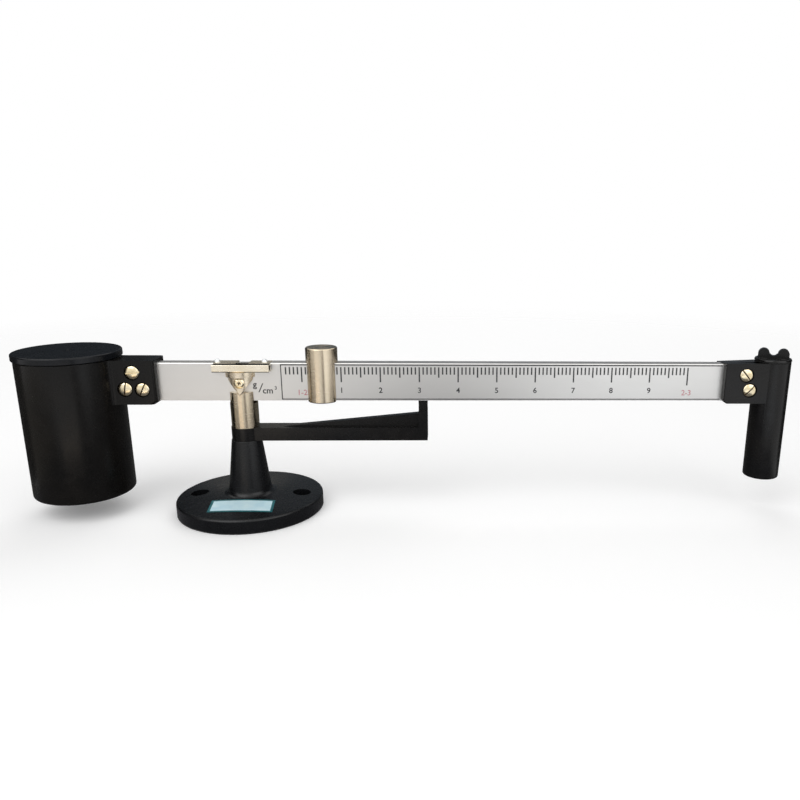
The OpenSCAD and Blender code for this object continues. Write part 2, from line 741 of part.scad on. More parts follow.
// Plug with its shoulder and two-lobed wing plate
module balance_plug() {
    lobe_x = wing_w / 2 - lobe_r;
    color([0.07, 0.07, 0.075]) translate([tail_x, 0, shoulder_z]) {
        cylinder(r1 = shoulder_r, r2 = shoulder_r - shoulder_draft, h = shoulder_t);
        translate([0, 0, -plug_l]) cylinder(r = tube_inner_r - plug_gap, h = plug_l);
        rotate([0, 0, wing_turn]) translate([0, wing_t / 2, shoulder_t]) rotate([90, 0, 0])
            linear_extrude(wing_t) difference() {
                union() {
                    translate([-wing_w / 2, -sink]) square([wing_w, wing_h - lobe_r + sink]);
                    for (side = [-1, 1]) translate([side * lobe_x, wing_h - lobe_r]) circle(lobe_r);
                }
                translate([0, wing_h - lobe_r + hollow_rise]) circle(hollow_r);
                translate([-hollow_r, wing_h - lobe_r + hollow_rise]) square([2 * hollow_r, wing_h]);
            }
    }
}

base();
column_washer();
column_bolt();
rest_arm();
knife_seat();
beam_bar();
mud_cup();
cup_screws();
balance_tube();
tube_screws();
lead_shot();
knife_blocks();
knife_screws();
level_holder();
level_vial();
vial_liquid();
vial_ends();
level_screws();
rider();
cup_lid();
plug_washer();
balance_plug();
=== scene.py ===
import math

import bpy
from mathutils import Matrix, Vector


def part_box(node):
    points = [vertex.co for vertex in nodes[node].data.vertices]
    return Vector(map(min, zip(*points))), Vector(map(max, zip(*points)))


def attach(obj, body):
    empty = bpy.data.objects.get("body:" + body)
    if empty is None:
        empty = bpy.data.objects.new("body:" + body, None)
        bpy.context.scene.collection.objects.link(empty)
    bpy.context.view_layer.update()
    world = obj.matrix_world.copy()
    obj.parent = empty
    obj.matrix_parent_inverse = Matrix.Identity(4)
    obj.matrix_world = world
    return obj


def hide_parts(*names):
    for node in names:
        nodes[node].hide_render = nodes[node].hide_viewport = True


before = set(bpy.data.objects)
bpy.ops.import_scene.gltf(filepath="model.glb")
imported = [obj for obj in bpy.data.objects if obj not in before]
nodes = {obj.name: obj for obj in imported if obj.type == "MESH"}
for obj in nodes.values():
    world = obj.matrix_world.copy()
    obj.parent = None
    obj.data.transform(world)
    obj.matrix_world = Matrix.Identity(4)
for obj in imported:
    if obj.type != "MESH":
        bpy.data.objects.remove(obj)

scene = bpy.context.scene
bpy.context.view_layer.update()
mm = 0.001

# Camera
# It stands in front of the beam, half a metre off and a little above it, and looks
# slightly down and to the right, with the photograph's own off-centre framing.
camera_place = (127.8 * mm, -466.8 * mm, 185.0 * mm)
camera_yaw = math.radians(2.769)
camera_pitch = math.radians(15.906)
camera_roll = math.radians(0.675)
camera_focal_px = 760.6
picture_px = 800
picture_middle_px = (484.9, 429.6)
film_width = 36.0

ahead = Vector((math.sin(camera_yaw) * math.cos(camera_pitch),
                math.cos(camera_yaw) * math.cos(camera_pitch),
                -math.sin(camera_pitch)))
flat_right = Vector((math.cos(camera_yaw), -math.sin(camera_yaw), 0))
flat_up = flat_right.cross(ahead)
right = math.cos(camera_roll) * flat_right + math.sin(camera_roll) * flat_up
up = -math.sin(camera_roll) * flat_right + math.cos(camera_roll) * flat_up
bpy.ops.object.camera_add(location=camera_place)
camera = bpy.context.object
camera.name = "camera"
camera.rotation_euler = Matrix((right, up, -ahead)).transposed().to_euler()
camera.data.sensor_width = film_width
camera.data.lens = film_width * camera_focal_px / picture_px
camera.data.shift_x = (picture_px / 2 - picture_middle_px[0]) / picture_px
camera.data.shift_y = (picture_middle_px[1] - picture_px / 2) / picture_px
scene.camera = camera
scene.view_settings.view_transform = "Standard"

# Studio
# A pale floor under a white room. The camera, gloss and glass see the room as plain
# white, and the pieces are lit by a weaker even light and three large soft lamps.
room_light = 0.5
room = bpy.data.worlds.new("white_room")
scene.world = room
room.use_nodes = True
room_tree = room.node_tree
room_tree.nodes.clear()
room_out = room_tree.nodes.new("ShaderNodeOutputWorld")
ray = room_tree.nodes.new("ShaderNodeLightPath")
even_light = room_tree.nodes.new("ShaderNodeBackground")
even_light.inputs["Color"].default_value = (1, 1, 1, 1)
even_light.inputs["Strength"].default_value = room_light
seen_white = room_tree.nodes.new("ShaderNodeBackground")
seen_white.inputs["Color"].default_value = (1, 1, 1, 1)
seen_white.inputs["Strength"].default_value = 1
camera_or_gloss = room_tree.nodes.new("ShaderNodeMath")
camera_or_gloss.operation = "MAXIMUM"
room_tree.links.new(ray.outputs["Is Camera Ray"], camera_or_gloss.inputs[0])
room_tree.links.new(ray.outputs["Is Glossy Ray"], camera_or_gloss.inputs[1])
or_glass = room_tree.nodes.new("ShaderNodeMath")
or_glass.operation = "MAXIMUM"
room_tree.links.new(camera_or_gloss.outputs[0], or_glass.inputs[0])
room_tree.links.new(ray.outputs["Is Transmission Ray"], or_glass.inputs[1])
which = room_tree.nodes.new("ShaderNodeMixShader")
room_tree.links.new(or_glass.outputs[0], which.inputs["Fac"])
room_tree.links.new(even_light.outputs[0], which.inputs[1])
room_tree.links.new(seen_white.outputs[0], which.inputs[2])
room_tree.links.new(which.outputs[0], room_out.inputs["Surface"])

lamp_aim = Vector((0.1, 0, 0.05))
lamps = {
    "key_lamp": ((-0.55, -0.75, 1.05), 1.2, 7.5),
    "fill_lamp": ((0.95, -0.85, 0.75), 1.2, 4.0),
    "back_lamp": ((0.15, 0.95, 1.0), 1.0, 3.5),
}
for name, (place, width, power) in lamps.items():
    bpy.ops.object.light_add(type="AREA", location=place)
    lamp = bpy.context.object
    lamp.name = name
    lamp.rotation_euler = (lamp_aim - Vector(place)).to_track_quat("-Z", "Y").to_euler()
    lamp.data.size = width
    lamp.data.energy = power
    lamp.visible_glossy = name != "back_lamp"

floor_middle = (0.1, 0, -0.05 * mm)
floor_radius = 3.0
floor_shade = 0.96
floor_roughness = 0.9
floor_seen_glow = 0.14
floor_fade_start = 0.4
floor_fade_end = 1.1
bpy.ops.mesh.primitive_circle_add(vertices=96, radius=floor_radius, fill_type="NGON", location=floor_middle)
floor = bpy.context.object
floor.name = "floor"
floor_paint = bpy.data.materials.new("floor_paint")
floor_paint.use_nodes = True
floor_tree = floor_paint.node_tree
floor_shader = floor_tree.nodes["Principled BSDF"]
floor_shader.inputs["Base Color"].default_value = (floor_shade, floor_shade, floor_shade, 1)
floor_shader.inputs["Roughness"].default_value = floor_roughness
floor_shader.inputs["Specular IOR Level"].default_value = 0
floor_place = floor_tree.nodes.new("ShaderNodeTexCoord")
floor_far = floor_tree.nodes.new("ShaderNodeVectorMath")
floor_far.operation = "LENGTH"
floor_tree.links.new(floor_place.outputs["Object"], floor_far.inputs[0])
floor_fade = floor_tree.nodes.new("ShaderNodeMapRange")
floor_fade.inputs["From Min"].default_value = floor_fade_start
floor_fade.inputs["From Max"].default_value = floor_fade_end
floor_tree.links.new(floor_far.outputs["Value"], floor_fade.inputs["Value"])
floor_ray = floor_tree.nodes.new("ShaderNodeLightPath")
floor_lift = floor_tree.nodes.new("ShaderNodeMath")
floor_lift.operation = "MULTIPLY"
floor_lift.inputs[1].default_value = floor_seen_glow
floor_tree.links.new(floor_ray.outputs["Is Camera Ray"], floor_lift.inputs[0])
floor_tree.links.new(floor_lift.outputs[0], floor_shader.inputs["Emission Strength"])
floor_shader.inputs["Emission Color"].default_value = (1, 1, 1, 1)
floor_clear = floor_tree.nodes.new("ShaderNodeBsdfTransparent")
floor_mix = floor_tree.nodes.new("ShaderNodeMixShader")
floor_tree.links.new(floor_fade.outputs["Result"], floor_mix.inputs["Fac"])
floor_tree.links.new(floor_shader.outputs[0], floor_mix.inputs[1])
floor_tree.links.new(floor_clear.outputs[0], floor_mix.inputs[2])
floor_tree.links.new(floor_mix.outputs[0], floor_tree.nodes["Material Output"].inputs["Surface"])
floor.data.materials.append(floor_paint)

# Cards round the object that only gloss and metal see, each with its middle, its size, its
# turn and its colour: a dark room behind and beside it, darker and lighter fields of floor,
# and narrow strips.
upright = math.radians(90)
cards = {
    "rear_left_card": ((-1.025, 1.05, 0.5), (1.15, 1.0), (upright, 0, 0), (0.03, 0.035, 0.04)),
    "rear_card": ((0.675, 1.05, 0.5), (2.25, 1.0), (upright, 0, 0), (0.11, 0.125, 0.14)),
    "level_strip": ((-0.285, 1.03, 0.29), (0.22, 0.09), (upright, 0, 0), (0.55, 0.5, 0.42)),
    "left_card": ((-1.3, 0.3, 0.5), (1.5, 1.0), (upright, 0, upright), (0.04, 0.04, 0.04)),
    "right_card": ((1.5, 0.3, 0.5), (1.5, 1.0), (upright, 0, upright), (0.04, 0.04, 0.04)),
    "left_floor_card": ((-0.75, 0.49, 0.0006), (1.1, 1.02), (0, 0, 0), (0.04, 0.04, 0.04)),
    "back_floor_card": ((0.125, 0.5, 0.0006), (0.65, 1.0), (0, 0, 0), (0.09, 0.09, 0.09)),
    "right_floor_card": ((0.975, 0.49, 0.0006), (1.05, 1.02), (0, 0, 0), (0.04, 0.04, 0.04)),
    "left_front_card": ((-0.395, -0.185, 0.0009), (0.41, 0.33), (0, 0, 0), (0.3, 0.28, 0.25)),
    "near_floor_card": ((0.105, -0.1, 0.0009), (0.59, 0.2), (0, 0, 0), (0.13, 0.13, 0.14)),
    "far_floor_card": ((0.1, -0.95, 0.0009), (2.2, 0.6), (0, 0, 0), (0.4, 0.4, 0.42)),
    "warm_strip": ((-0.07, -0.195, 0.0013), (0.13, 0.04), (0, 0, 0), (2.8, 2.4, 2.0)),
    "right_front_card": ((0.3275, -0.42, 0.0011), (0.255, 0.46), (0, 0, 0), (1.4, 1.44, 1.48)),
    "dark_strip": ((0.16, -0.39, 0.0013), (0.4, 0.09), (0, 0, math.radians(-66)), (0.03, 0.025, 0.02)),
}
for name, (middle, sizes, turn, colour) in cards.items():
    bpy.ops.mesh.primitive_plane_add(size=1, location=middle, rotation=turn)
    card = bpy.context.object
    card.name = name
    card.scale = (*sizes, 1)
    card.visible_camera = False
    card.visible_diffuse = False
    card.visible_transmission = False
    card.visible_shadow = False
    card_paint = bpy.data.materials.new(name)
    card_paint.use_nodes = True
    card_shader = card_paint.node_tree.nodes["Principled BSDF"]
    card_shader.inputs["Base Color"].default_value = (0, 0, 0, 1)
    card_shader.inputs["Specular IOR Level"].default_value = 0
    card_shader.inputs["Emission Color"].default_value = (*colour, 1)
    card_shader.inputs["Emission Strength"].default_value = 1
    card.data.materials.append(card_paint)


# Foot and post
# One iron casting: a round foot plate that rises a little to a tapered hollow post, with
# two counterbored screw holes. It is enamelled satin black all over.
foot_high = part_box("base")[1]
rim_radius = foot_high.x
rim_height = 9 * mm
rim_rounding = 1.4 * mm
plate_height = 11.6 * mm
post_foot_radius = 13.4 * mm
post_neck_radius = 9.2 * mm
post_fillet = 3.5 * mm
recess_radius = 8.5 * mm
recess_depth = 7.5 * mm
bolt_bore_radius = 3.1 * mm
spigot_bore_radius = 6.1 * mm
spigot_bore_depth = 4 * mm
hole_offset = 32.4 * mm
hole_radius = 2.75 * mm
counterbore_radius = 5.6 * mm
counterbore_floor = 5 * mm
foot_chamfer = 0.5 * mm
neck_rounding = 0.3 * mm
post_cap_radius = 2 * mm
foot_edge = 0.25 * mm
near = 0.01 * mm
spread_range = (0.3, 0.7)
tint_range = (0.35, 0.65)


def put_down():
    """Leaves edit mode and lets go of everything."""
    if bpy.context.object and bpy.context.object.mode == "EDIT":
        bpy.ops.object.mode_set(mode="OBJECT")
    bpy.ops.object.select_all(action="DESELECT")


def take_up(piece):
    """Makes one piece the only one in hand."""
    put_down()
    piece.select_set(True)
    bpy.context.view_layer.objects.active = piece


def rounded_corners(corners, steps=5):
    """Rings for the lathe from corners of (radius, height, rounding), each corner made an arc."""
    rings = []
    for number, (x, z, rounding) in enumerate(corners):
        here = Vector((x, z))
        if rounding == 0:
            rings.append((x, z))
            continue
        back = (Vector(corners[number - 1][:2]) - here).normalized()
        on = (Vector(corners[number + 1][:2]) - here).normalized()
        half = back.angle(on) / 2
        middle = here + (back + on).normalized() * (rounding / math.sin(half))
        start = here + back * (rounding / math.tan(half)) - middle
        end = here + on * (rounding / math.tan(half)) - middle
        turn = start.angle(end)
        for step in range(steps + 1):
            share = step / steps
            point = (start * math.sin((1 - share) * turn) + end * math.sin(share * turn)) / math.sin(turn)
            rings.append((middle.x + point.x, middle.y + point.y))
    return rings


def turned(name, axis, rings, sides=128):
    """A round solid drawn up from a filled circle, ring by ring, about an upright axis."""
    put_down()
    radius, height = rings[0]
    bpy.ops.mesh.primitive_circle_add(vertices=sides, radius=radius, fill_type="NGON",
                                      location=(axis[0], axis[1], height))
    piece = bpy.context.object
    piece.name = name
    bpy.ops.object.transform_apply(location=True, rotation=True, scale=True)
    bpy.ops.object.mode_set(mode="EDIT")
    bpy.ops.mesh.select_all(action="SELECT")
    for (last_radius, last_height), (radius, height) in zip(rings, rings[1:]):
        bpy.ops.mesh.extrude_region_move(TRANSFORM_OT_translate={"value": (0, 0, height - last_height)})
        share = radius / last_radius
        bpy.ops.transform.resize(value=(share, share, 1), center_override=(axis[0], axis[1], height))
    bpy.ops.mesh.select_all(action="SELECT")
    bpy.ops.mesh.normals_make_consistent(inside=False)
    put_down()
    return piece


def rod(radius, start, end, sides=64):
    """A plain round rod from one point to another, as a cutter or a blank."""
    put_down()
    along = Vector(end) - Vector(start)
    bpy.ops.mesh.primitive_cylinder_add(vertices=sides, radius=radius, depth=along.length,
                                        location=(Vector(start) + Vector(end)) / 2,
                                        rotation=along.to_track_quat("Z", "Y").to_euler())
    bpy.ops.object.transform_apply(location=True, rotation=True, scale=True)
    piece = bpy.context.object
    put_down()
    return piece


def bar(low, high):
    """A plain block between two corners, as a cutter or a blank."""
    put_down()
    low, high = Vector(low), Vector(high)
    bpy.ops.mesh.primitive_cube_add(size=1, location=(low + high) / 2)
    piece = bpy.context.object
    piece.scale = [abs(length) for length in high - low]
    bpy.ops.object.transform_apply(location=True, rotation=True, scale=True)
    put_down()
    return piece


def hold(piece, wanted, kind="VERT"):
    """Opens a piece with only the wanted corners, edges or faces in hand, chosen by their middle."""
    take_up(piece)
    bpy.ops.object.mode_set(mode="EDIT")
    bpy.ops.mesh.select_mode(type=kind)
    bpy.ops.mesh.select_all(action="DESELECT")
    bpy.ops.object.mode_set(mode="OBJECT")
    corners = piece.data.vertices
    if kind == "VERT":
        for corner in corners:
            corner.select = wanted(corner.co)
    elif kind == "EDGE":
        for edge in piece.data.edges:
            edge.select = wanted((corners[edge.vertices[0]].co + corners[edge.vertices[1]].co) / 2)
    else:
        for face in piece.data.polygons:
            face.select = wanted(face.center)
    bpy.ops.object.mode_set(mode="EDIT")


def joined(piece, other, operation="DIFFERENCE"):
    """Cuts the other piece away, or welds it on, and takes it off the bench."""
    change = piece.modifiers.new("join", "BOOLEAN")
    change.operation = operation
    change.solver = "EXACT"
    change.object = other
    take_up(piece)
    bpy.ops.object.modifier_apply(modifier=change.name)
    bpy.data.objects.remove(other)
    bpy.ops.object.mode_set(mode="EDIT")
    bpy.ops.mesh.select_all(action="SELECT")
    bpy.ops.mesh.remove_doubles(threshold=near)
    put_down()
    return piece


def softened(piece, width, segments=3, from_angle=35):
    """Rounds the sharp edges and shades the piece smooth, with its flats kept flat."""
    edges = piece.modifiers.new("edges", "BEVEL")
    edges.width = width
    edges.segments = segments
    edges.limit_method = "ANGLE"
    edges.angle_limit = math.radians(from_angle)
    take_up(piece)
    bpy.ops.object.modifier_apply(modifier=edges.name)
    bpy.ops.object.shade_smooth_by_angle(angle=math.radians(from_angle))
    flats = piece.modifiers.new("flats", "WEIGHTED_NORMAL")
    flats.keep_sharp = True
    bpy.ops.object.modifier_apply(modifier=flats.name)
    put_down()
    return piece


def finish(name, colour, roughness, metallic=0.0, specular=0.5):
    """A new finish and its shader."""
    paint = bpy.data.materials.new(name)
    paint.use_nodes = True
    shader = paint.node_tree.nodes["Principled BSDF"]
    shader.inputs["Base Color"].default_value = (*colour, 1)
    shader.inputs["Roughness"].default_value = roughness
    shader.inputs["Metallic"].default_value = metallic
    shader.inputs["Specular IOR Level"].default_value = specular
    return paint, shader


def grain(shader, scale, detail=3.0, stretch=(1, 1, 1)):
    """Noise on the piece's own coordinates, in metres, stretched along its axes."""
    tree = shader.id_data
    place = tree.nodes.new("ShaderNodeTexCoord")
    turn = tree.nodes.new("ShaderNodeMapping")
    turn.inputs["Scale"].default_value = stretch
    noise = tree.nodes.new("ShaderNodeTexNoise")
    noise.inputs["Scale"].default_value = scale
    noise.inputs["Detail"].default_value = detail
    tree.links.new(place.outputs["Object"], turn.inputs["Vector"])
    tree.links.new(turn.outputs["Vector"], noise.inputs["Vector"])
    return noise.outputs["Fac"]


def spread(shader, value, low, high):
    """Makes the roughness follow a pattern, from a low number to a high one."""
    tree = shader.id_data
    reach = tree.nodes.new("ShaderNodeMapRange")
    reach.inputs["From Min"].default_value = spread_range[0]
    reach.inputs["From Max"].default_value = spread_range[1]
    reach.inputs["To Min"].default_value = low
    reach.inputs["To Max"].default_value = high
    tree.links.new(value, reach.inputs["Value"])
    tree.links.new(reach.outputs["Result"], shader.inputs["Roughness"])


def tint(shader, value, first, second):
    """Makes the colour follow a pattern, between two colours."""
    tree = shader.id_data
    ramp = tree.nodes.new("ShaderNodeValToRGB")
    for stop, place, colour in zip(ramp.color_ramp.elements, tint_range, (first, second)):
        stop.position = place
        stop.color = (*colour, 1)
    tree.links.new(value, ramp.inputs["Fac"])
    tree.links.new(ramp.outputs["Color"], shader.inputs["Base Color"])


def relief(shader, value, height, strength=1.0):
    """Raises a fine pattern on the surface, on top of any relief that is there."""
    tree = shader.id_data
    bump = tree.nodes.new("ShaderNodeBump")
    bump.inputs["Strength"].default_value = strength
    bump.inputs["Distance"].default_value = height
    tree.links.new(value, bump.inputs["Height"])
    before = shader.inputs["Normal"].links
    if before:
        tree.links.new(before[0].from_socket, bump.inputs["Normal"])
    tree.links.new(bump.outputs["Normal"], shader.inputs["Normal"])


def dress(piece, paint):
    """Gives a piece one finish all over."""
    piece.data.materials.clear()
    piece.data.materials.append(paint)


foot = turned("foot", (0, 0), rounded_corners([
    (rim_radius - foot_chamfer, 0, 0),
    (rim_radius, foot_chamfer, 0),
    (rim_radius, rim_height, rim_rounding),
    (post_foot_radius, plate_height, post_fillet),
    (post_neck_radius, foot_high.z, neck_rounding),
    (post_cap_radius, foot_high.z, 0)]), sides=192)
joined(foot, rod(bolt_bore_radius, (0, 0, -mm), (0, 0, foot_high.z + mm)))
joined(foot, rod(recess_radius, (0, 0, -mm), (0, 0, recess_depth)))
joined(foot, rod(spigot_bore_radius, (0, 0, foot_high.z - spigot_bore_depth), (0, 0, foot_high.z + mm)))
for side in (-1, 1):
    joined(foot, rod(hole_radius, (side * hole_offset, 0, -mm), (side * hole_offset, 0, 2 * plate_height)))
    joined(foot, rod(counterbore_radius, (side * hole_offset, 0, counterbore_floor),
                     (side * hole_offset, 0, 2 * plate_height)))
softened(foot, foot_edge, segments=2)

enamel, shader = finish("black_enamel", (0.005, 0.0053, 0.006), 0.27, specular=0.35)
tint(shader, grain(shader, 55), (0.0038, 0.0042, 0.005), (0.0062, 0.0066, 0.0075))
spread(shader, grain(shader, 240), 0.23, 0.31)
relief(shader, grain(shader, 900, 2.0), 0.006 * mm)
dress(foot, enamel)
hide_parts("base")
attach(foot, "stand")


# Column bolt and washer
# A zinc-plated hexagon bolt that comes up through the post into the knife seat, on a plain
# washer in the recess under the foot.
washer_low, washer_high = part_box("column_washer")
bolt_low, bolt_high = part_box("column_bolt")
bolt_radius = 3 * mm
bolt_across_corners = 11.5 * mm
bolt_head_height = 4 * mm
bolt_crown_radius = 0.42 * bolt_across_corners
bolt_crown_reach = 0.51 * bolt_across_corners
bolt_crown_height = 0.6 * mm
bolt_tip_height = 0.6 * mm
bolt_tip_chamfer = 0.5 * mm
bolt_weld = 0.3 * mm
bolt_edge = 0.12 * mm
washer_chamfer = 0.2 * mm
washer_edge = 0.1 * mm

bolt_head_top = bolt_low.z + bolt_head_height
bolt = rod(bolt_across_corners / 2, (0, 0, bolt_low.z), (0, 0, bolt_head_top), sides=6)
bolt.name = "post_bolt"
crown = turned("crown", (0, 0), [
    (bolt_crown_radius, bolt_low.z),
    (bolt_crown_reach, bolt_low.z + bolt_crown_height),
    (bolt_crown_reach, bolt_head_top)], sides=64)
joined(bolt, crown, "INTERSECT")
joined(bolt, turned("shank", (0, 0), [
    (bolt_radius, bolt_head_top - bolt_weld),
    (bolt_radius, bolt_high.z - bolt_tip_height),
    (bolt_radius - bolt_tip_chamfer, bolt_high.z)], sides=48), "UNION")
softened(bolt, bolt_edge, segments=2, from_angle=25)

washer = turned("post_washer", (0, 0), [
    (washer_high.x - washer_chamfer, washer_low.z),
    (washer_high.x, washer_low.z + washer_chamfer),
    (washer_high.x, washer_high.z)], sides=96)
joined(washer, rod(bolt_bore_radius, (0, 0, 0), (0, 0, 2 * washer_high.z)))
softened(washer, washer_edge, segments=2)

zinc, shader = finish("zinc_plate", (0.55, 0.56, 0.58), 0.35, metallic=1)
tint(shader, grain(shader, 140), (0.47, 0.48, 0.50), (0.60, 0.61, 0.63))
spread(shader, grain(shader, 500), 0.26, 0.46)
relief(shader, grain(shader, 1500), 0.01 * mm)
dress(bolt, zinc)
dress(washer, zinc)
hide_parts("column_bolt")
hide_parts("column_washer")
for piece in (bolt, washer):
    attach(piece, "stand")


# Rest arm
# One black moulding clamped between post and knife seat: a ring, a square rib with a thin
# raking web on it, and an end block with the stop that the beam's right side rests on.
arm_low, arm_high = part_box("rest_arm")
arm_rib_width = 12 * mm
arm_rib_top = 54.8 * mm
arm_web_thickness = 4.5 * mm
arm_web_start = 22 * mm
arm_web_end = 63.4 * mm
arm_block_length = 5.5 * mm
arm_block_top = 65.4 * mm
arm_stop_width = 8 * mm
arm_ring_radius = 8.8 * mm
arm_web_foot = arm_low.z + 2 * mm
arm_web_sink = 0.1 * mm
arm_edge = 0.35 * mm
arm_block_x = arm_high.x - arm_block_length

arm = bar((0, -arm_rib_width / 2, arm_low.z), (arm_high.x, arm_rib_width / 2, arm_rib_top))
arm.name = "rest_arm_moulding"
web = bar((arm_web_start, -arm_web_thickness / 2, arm_web_foot),
          (arm_block_x + mm, arm_web_thickness / 2, arm_web_end))
hold(web, lambda at: at.z > arm_rib_top and at.x < arm_block_x)
bpy.ops.transform.translate(value=(0, 0, arm_rib_top - arm_web_sink - arm_web_end))
joined(arm, web, "UNION")
for bottom, top, width in ((arm_low.z, arm_block_top, arm_rib_width),
                           (arm_rib_top, arm_high.z, arm_stop_width)):
    joined(arm, bar((arm_block_x, -width / 2, bottom), (arm_high.x, width / 2, top)), "UNION")
joined(arm, rod(arm_ring_radius, (0, 0, arm_low.z), (0, 0, arm_rib_top), sides=128), "UNION")
joined(arm, rod(spigot_bore_radius, (0, 0, 0), (0, 0, 2 * arm_rib_top)))
softened(arm, arm_edge)

moulding, shader = finish("black_moulding", (0.005, 0.0048, 0.0046), 0.26, specular=0.28)
tint(shader, grain(shader, 45), (0.004, 0.004, 0.0044), (0.0066, 0.006, 0.0056))
spread(shader, grain(shader, 180), 0.22, 0.3)
relief(shader, grain(shader, 1300, 2.0), 0.006 * mm)
dress(arm, moulding)
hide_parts("rest_arm")
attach(arm, "stand")


# Knife seat
# A turned and nickel-plated brass head on the post, slotted along the beam, with a V in
# each half of its rim where the knife edges rest.
seat_low, seat_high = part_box("knife_seat")
seat_bottom = arm_rib_top
seat_radius = seat_high.x
seat_spigot_radius = 6 * mm
seat_slot_half = 4.55 * mm
seat_slot_floor = 70.15 * mm
seat_notch_depth = 1.5 * mm
seat_notch_angle = math.radians(104)
seat_bore_top = 64.8 * mm
seat_edge = 0.25 * mm
notch_pinch = 0.001

seat = turned("knife_seat_head", (0, 0), [
    (seat_spigot_radius, seat_low.z),
    (seat_spigot_radius, seat_bottom),
    (seat_radius, seat_bottom),
    (seat_radius, seat_high.z)], sides=160)
joined(seat, bar((-2 * seat_radius, -seat_slot_half, seat_slot_floor),
                 (2 * seat_radius, seat_slot_half, 2 * seat_high.z)))
notch_half = (seat_notch_depth + mm) * math.tan(seat_notch_angle / 2)
notch = bar((-notch_half, -2 * seat_radius, seat_high.z - seat_notch_depth),
            (notch_half, 2 * seat_radius, seat_high.z + mm))
hold(notch, lambda at: at.z < seat_high.z)
bpy.ops.transform.resize(value=(notch_pinch, 1, 1), center_override=(0, 0, seat_high.z))
joined(seat, notch)
joined(seat, rod(bolt_bore_radius, (0, 0, seat_low.z - mm), (0, 0, seat_bore_top)))
softened(seat, seat_edge)

turned_plate, shader = finish("turned_nickel", (0.74, 0.63, 0.47), 0.24, metallic=1)
shader.inputs["Anisotropic"].default_value = 0.75
shader.inputs["Anisotropic Rotation"].default_value = 0.25
tint(shader, grain(shader, 90, 4, (1, 1, 0.25)), (0.70, 0.59, 0.43), (0.78, 0.67, 0.51))
spread(shader, grain(shader, 500, 4, (0.3, 0.3, 4)), 0.2, 0.28)
relief(shader, grain(shader, 900, 2, (0.3, 0.3, 5)), 0.0008 * mm)
dress(seat, turned_plate)
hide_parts("knife_seat")
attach(seat, "stand")


# Beam
# An extruded rectangular aluminium tube with a satin skin and rounded long top edges,
# recessed on top for the level.
beam_low, beam_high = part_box("beam_bar")
beam_front = beam_low.y
beam_top_rounding = 0.75 * mm
beam_edge = 0.2 * mm
same_corner = 0.001 * mm
flat_angle = math.radians(0.3)


def merged_copy(node, name, clean_flats=True):
    """A copy of a CAD node with its loose triangles merged, and its flats made one face each."""
    piece = bpy.data.objects.new(name, nodes[node].data.copy())
    scene.collection.objects.link(piece)
    take_up(piece)
    bpy.ops.object.mode_set(mode="EDIT")
    bpy.ops.mesh.select_all(action="SELECT")
    bpy.ops.mesh.remove_doubles(threshold=same_corner)
    if clean_flats:
        bpy.ops.mesh.dissolve_limited(angle_limit=flat_angle)
    put_down()
    return piece


beam = merged_copy("beam_bar", "beam_tube")
hold(beam, lambda at: min(abs(at.y - beam_low.y), abs(at.y - beam_high.y)) < near
     and at.z > beam_high.z - near, "EDGE")
bpy.ops.mesh.bevel(offset=beam_top_rounding, segments=5)
put_down()
softened(beam, beam_edge, segments=2)

satin, shader = finish("satin_aluminium", (0.72, 0.71, 0.69), 0.38, metallic=1)
tint(shader, grain(shader, 30, 3, (0.3, 1, 1)), (0.705, 0.695, 0.675), (0.735, 0.725, 0.705))
spread(shader, grain(shader, 500, 4, (0.05, 1, 1)), 0.36, 0.41)
relief(shader, grain(shader, 1600, 3, (0.03, 1, 1)), 0.002 * mm)
dress(beam, satin)
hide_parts("beam_bar")
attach(beam, "beam")


# Scale
# Marks, figures and a thin frame printed in black on the beam's front, with a red pair of
# figures under each end of the range and the unit beside the knife block.
print_face = beam_front
ink_depth = 0.04 * mm
ink_sink = ink_depth / 2
first_mark = 27.6 * mm
division = 2.4 * mm
mark_width = 0.85 * mm
mark_top = 93.0 * mm
short_mark_foot = 88.4 * mm
half_mark_foot = 86.5 * mm
long_mark_foot = 83.6 * mm
last_mark_foot = 81.8 * mm
frame_left = 24.4 * mm
frame_right = 299.0 * mm
frame_top = 94.8 * mm
frame_bottom = 72.55 * mm
frame_line = 0.6 * mm
frame_top_line = 1.3 * frame_line
figure_height = 3.5 * mm
figure_middle = 78.3 * mm
figure_weight = 0.08 * mm
figure_share = 0.73
red_figures = (("1-2", 37.1 * mm), ("2-3", 277.2 * mm))
red_figure_middle = 76.9 * mm
red_weight = 0.04 * mm
unit_height = 3.9 * mm
unit_weight = 0.1 * mm
unit_gram_place = (8.4 * mm, 82.0 * mm)
unit_length_place = (16.1 * mm, 78.1 * mm)
power_place = (21.0 * mm, 79.8 * mm)
power_height = 2.3 * mm
power_weight = 0.05 * mm
slash_foot = (10.3 * mm, 77.2 * mm)
slash_width = 0.7 * mm
slash_top = 82.8 * mm
slash_lean = 2.6 * mm


def stroke(left, foot, right, top):
    """One printed bar on the beam's front, drawn out of a flat rectangle."""
    put_down()
    middle = ((left + right) / 2, print_face + ink_sink, (foot + top) / 2)
    bpy.ops.mesh.primitive_plane_add(size=1, location=middle, rotation=(math.radians(90), 0, 0))
    piece = bpy.context.object
    piece.scale = (right - left, top - foot, 1)
    bpy.ops.object.transform_apply(location=True, rotation=True, scale=True)
    bpy.ops.object.mode_set(mode="EDIT")
    bpy.ops.mesh.select_all(action="SELECT")
    bpy.ops.mesh.extrude_region_move(TRANSFORM_OT_translate={"value": (0, -ink_sink - ink_depth, 0)})
    bpy.ops.mesh.select_all(action="SELECT")
    bpy.ops.mesh.normals_make_consistent(inside=False)
    put_down()
    return piece


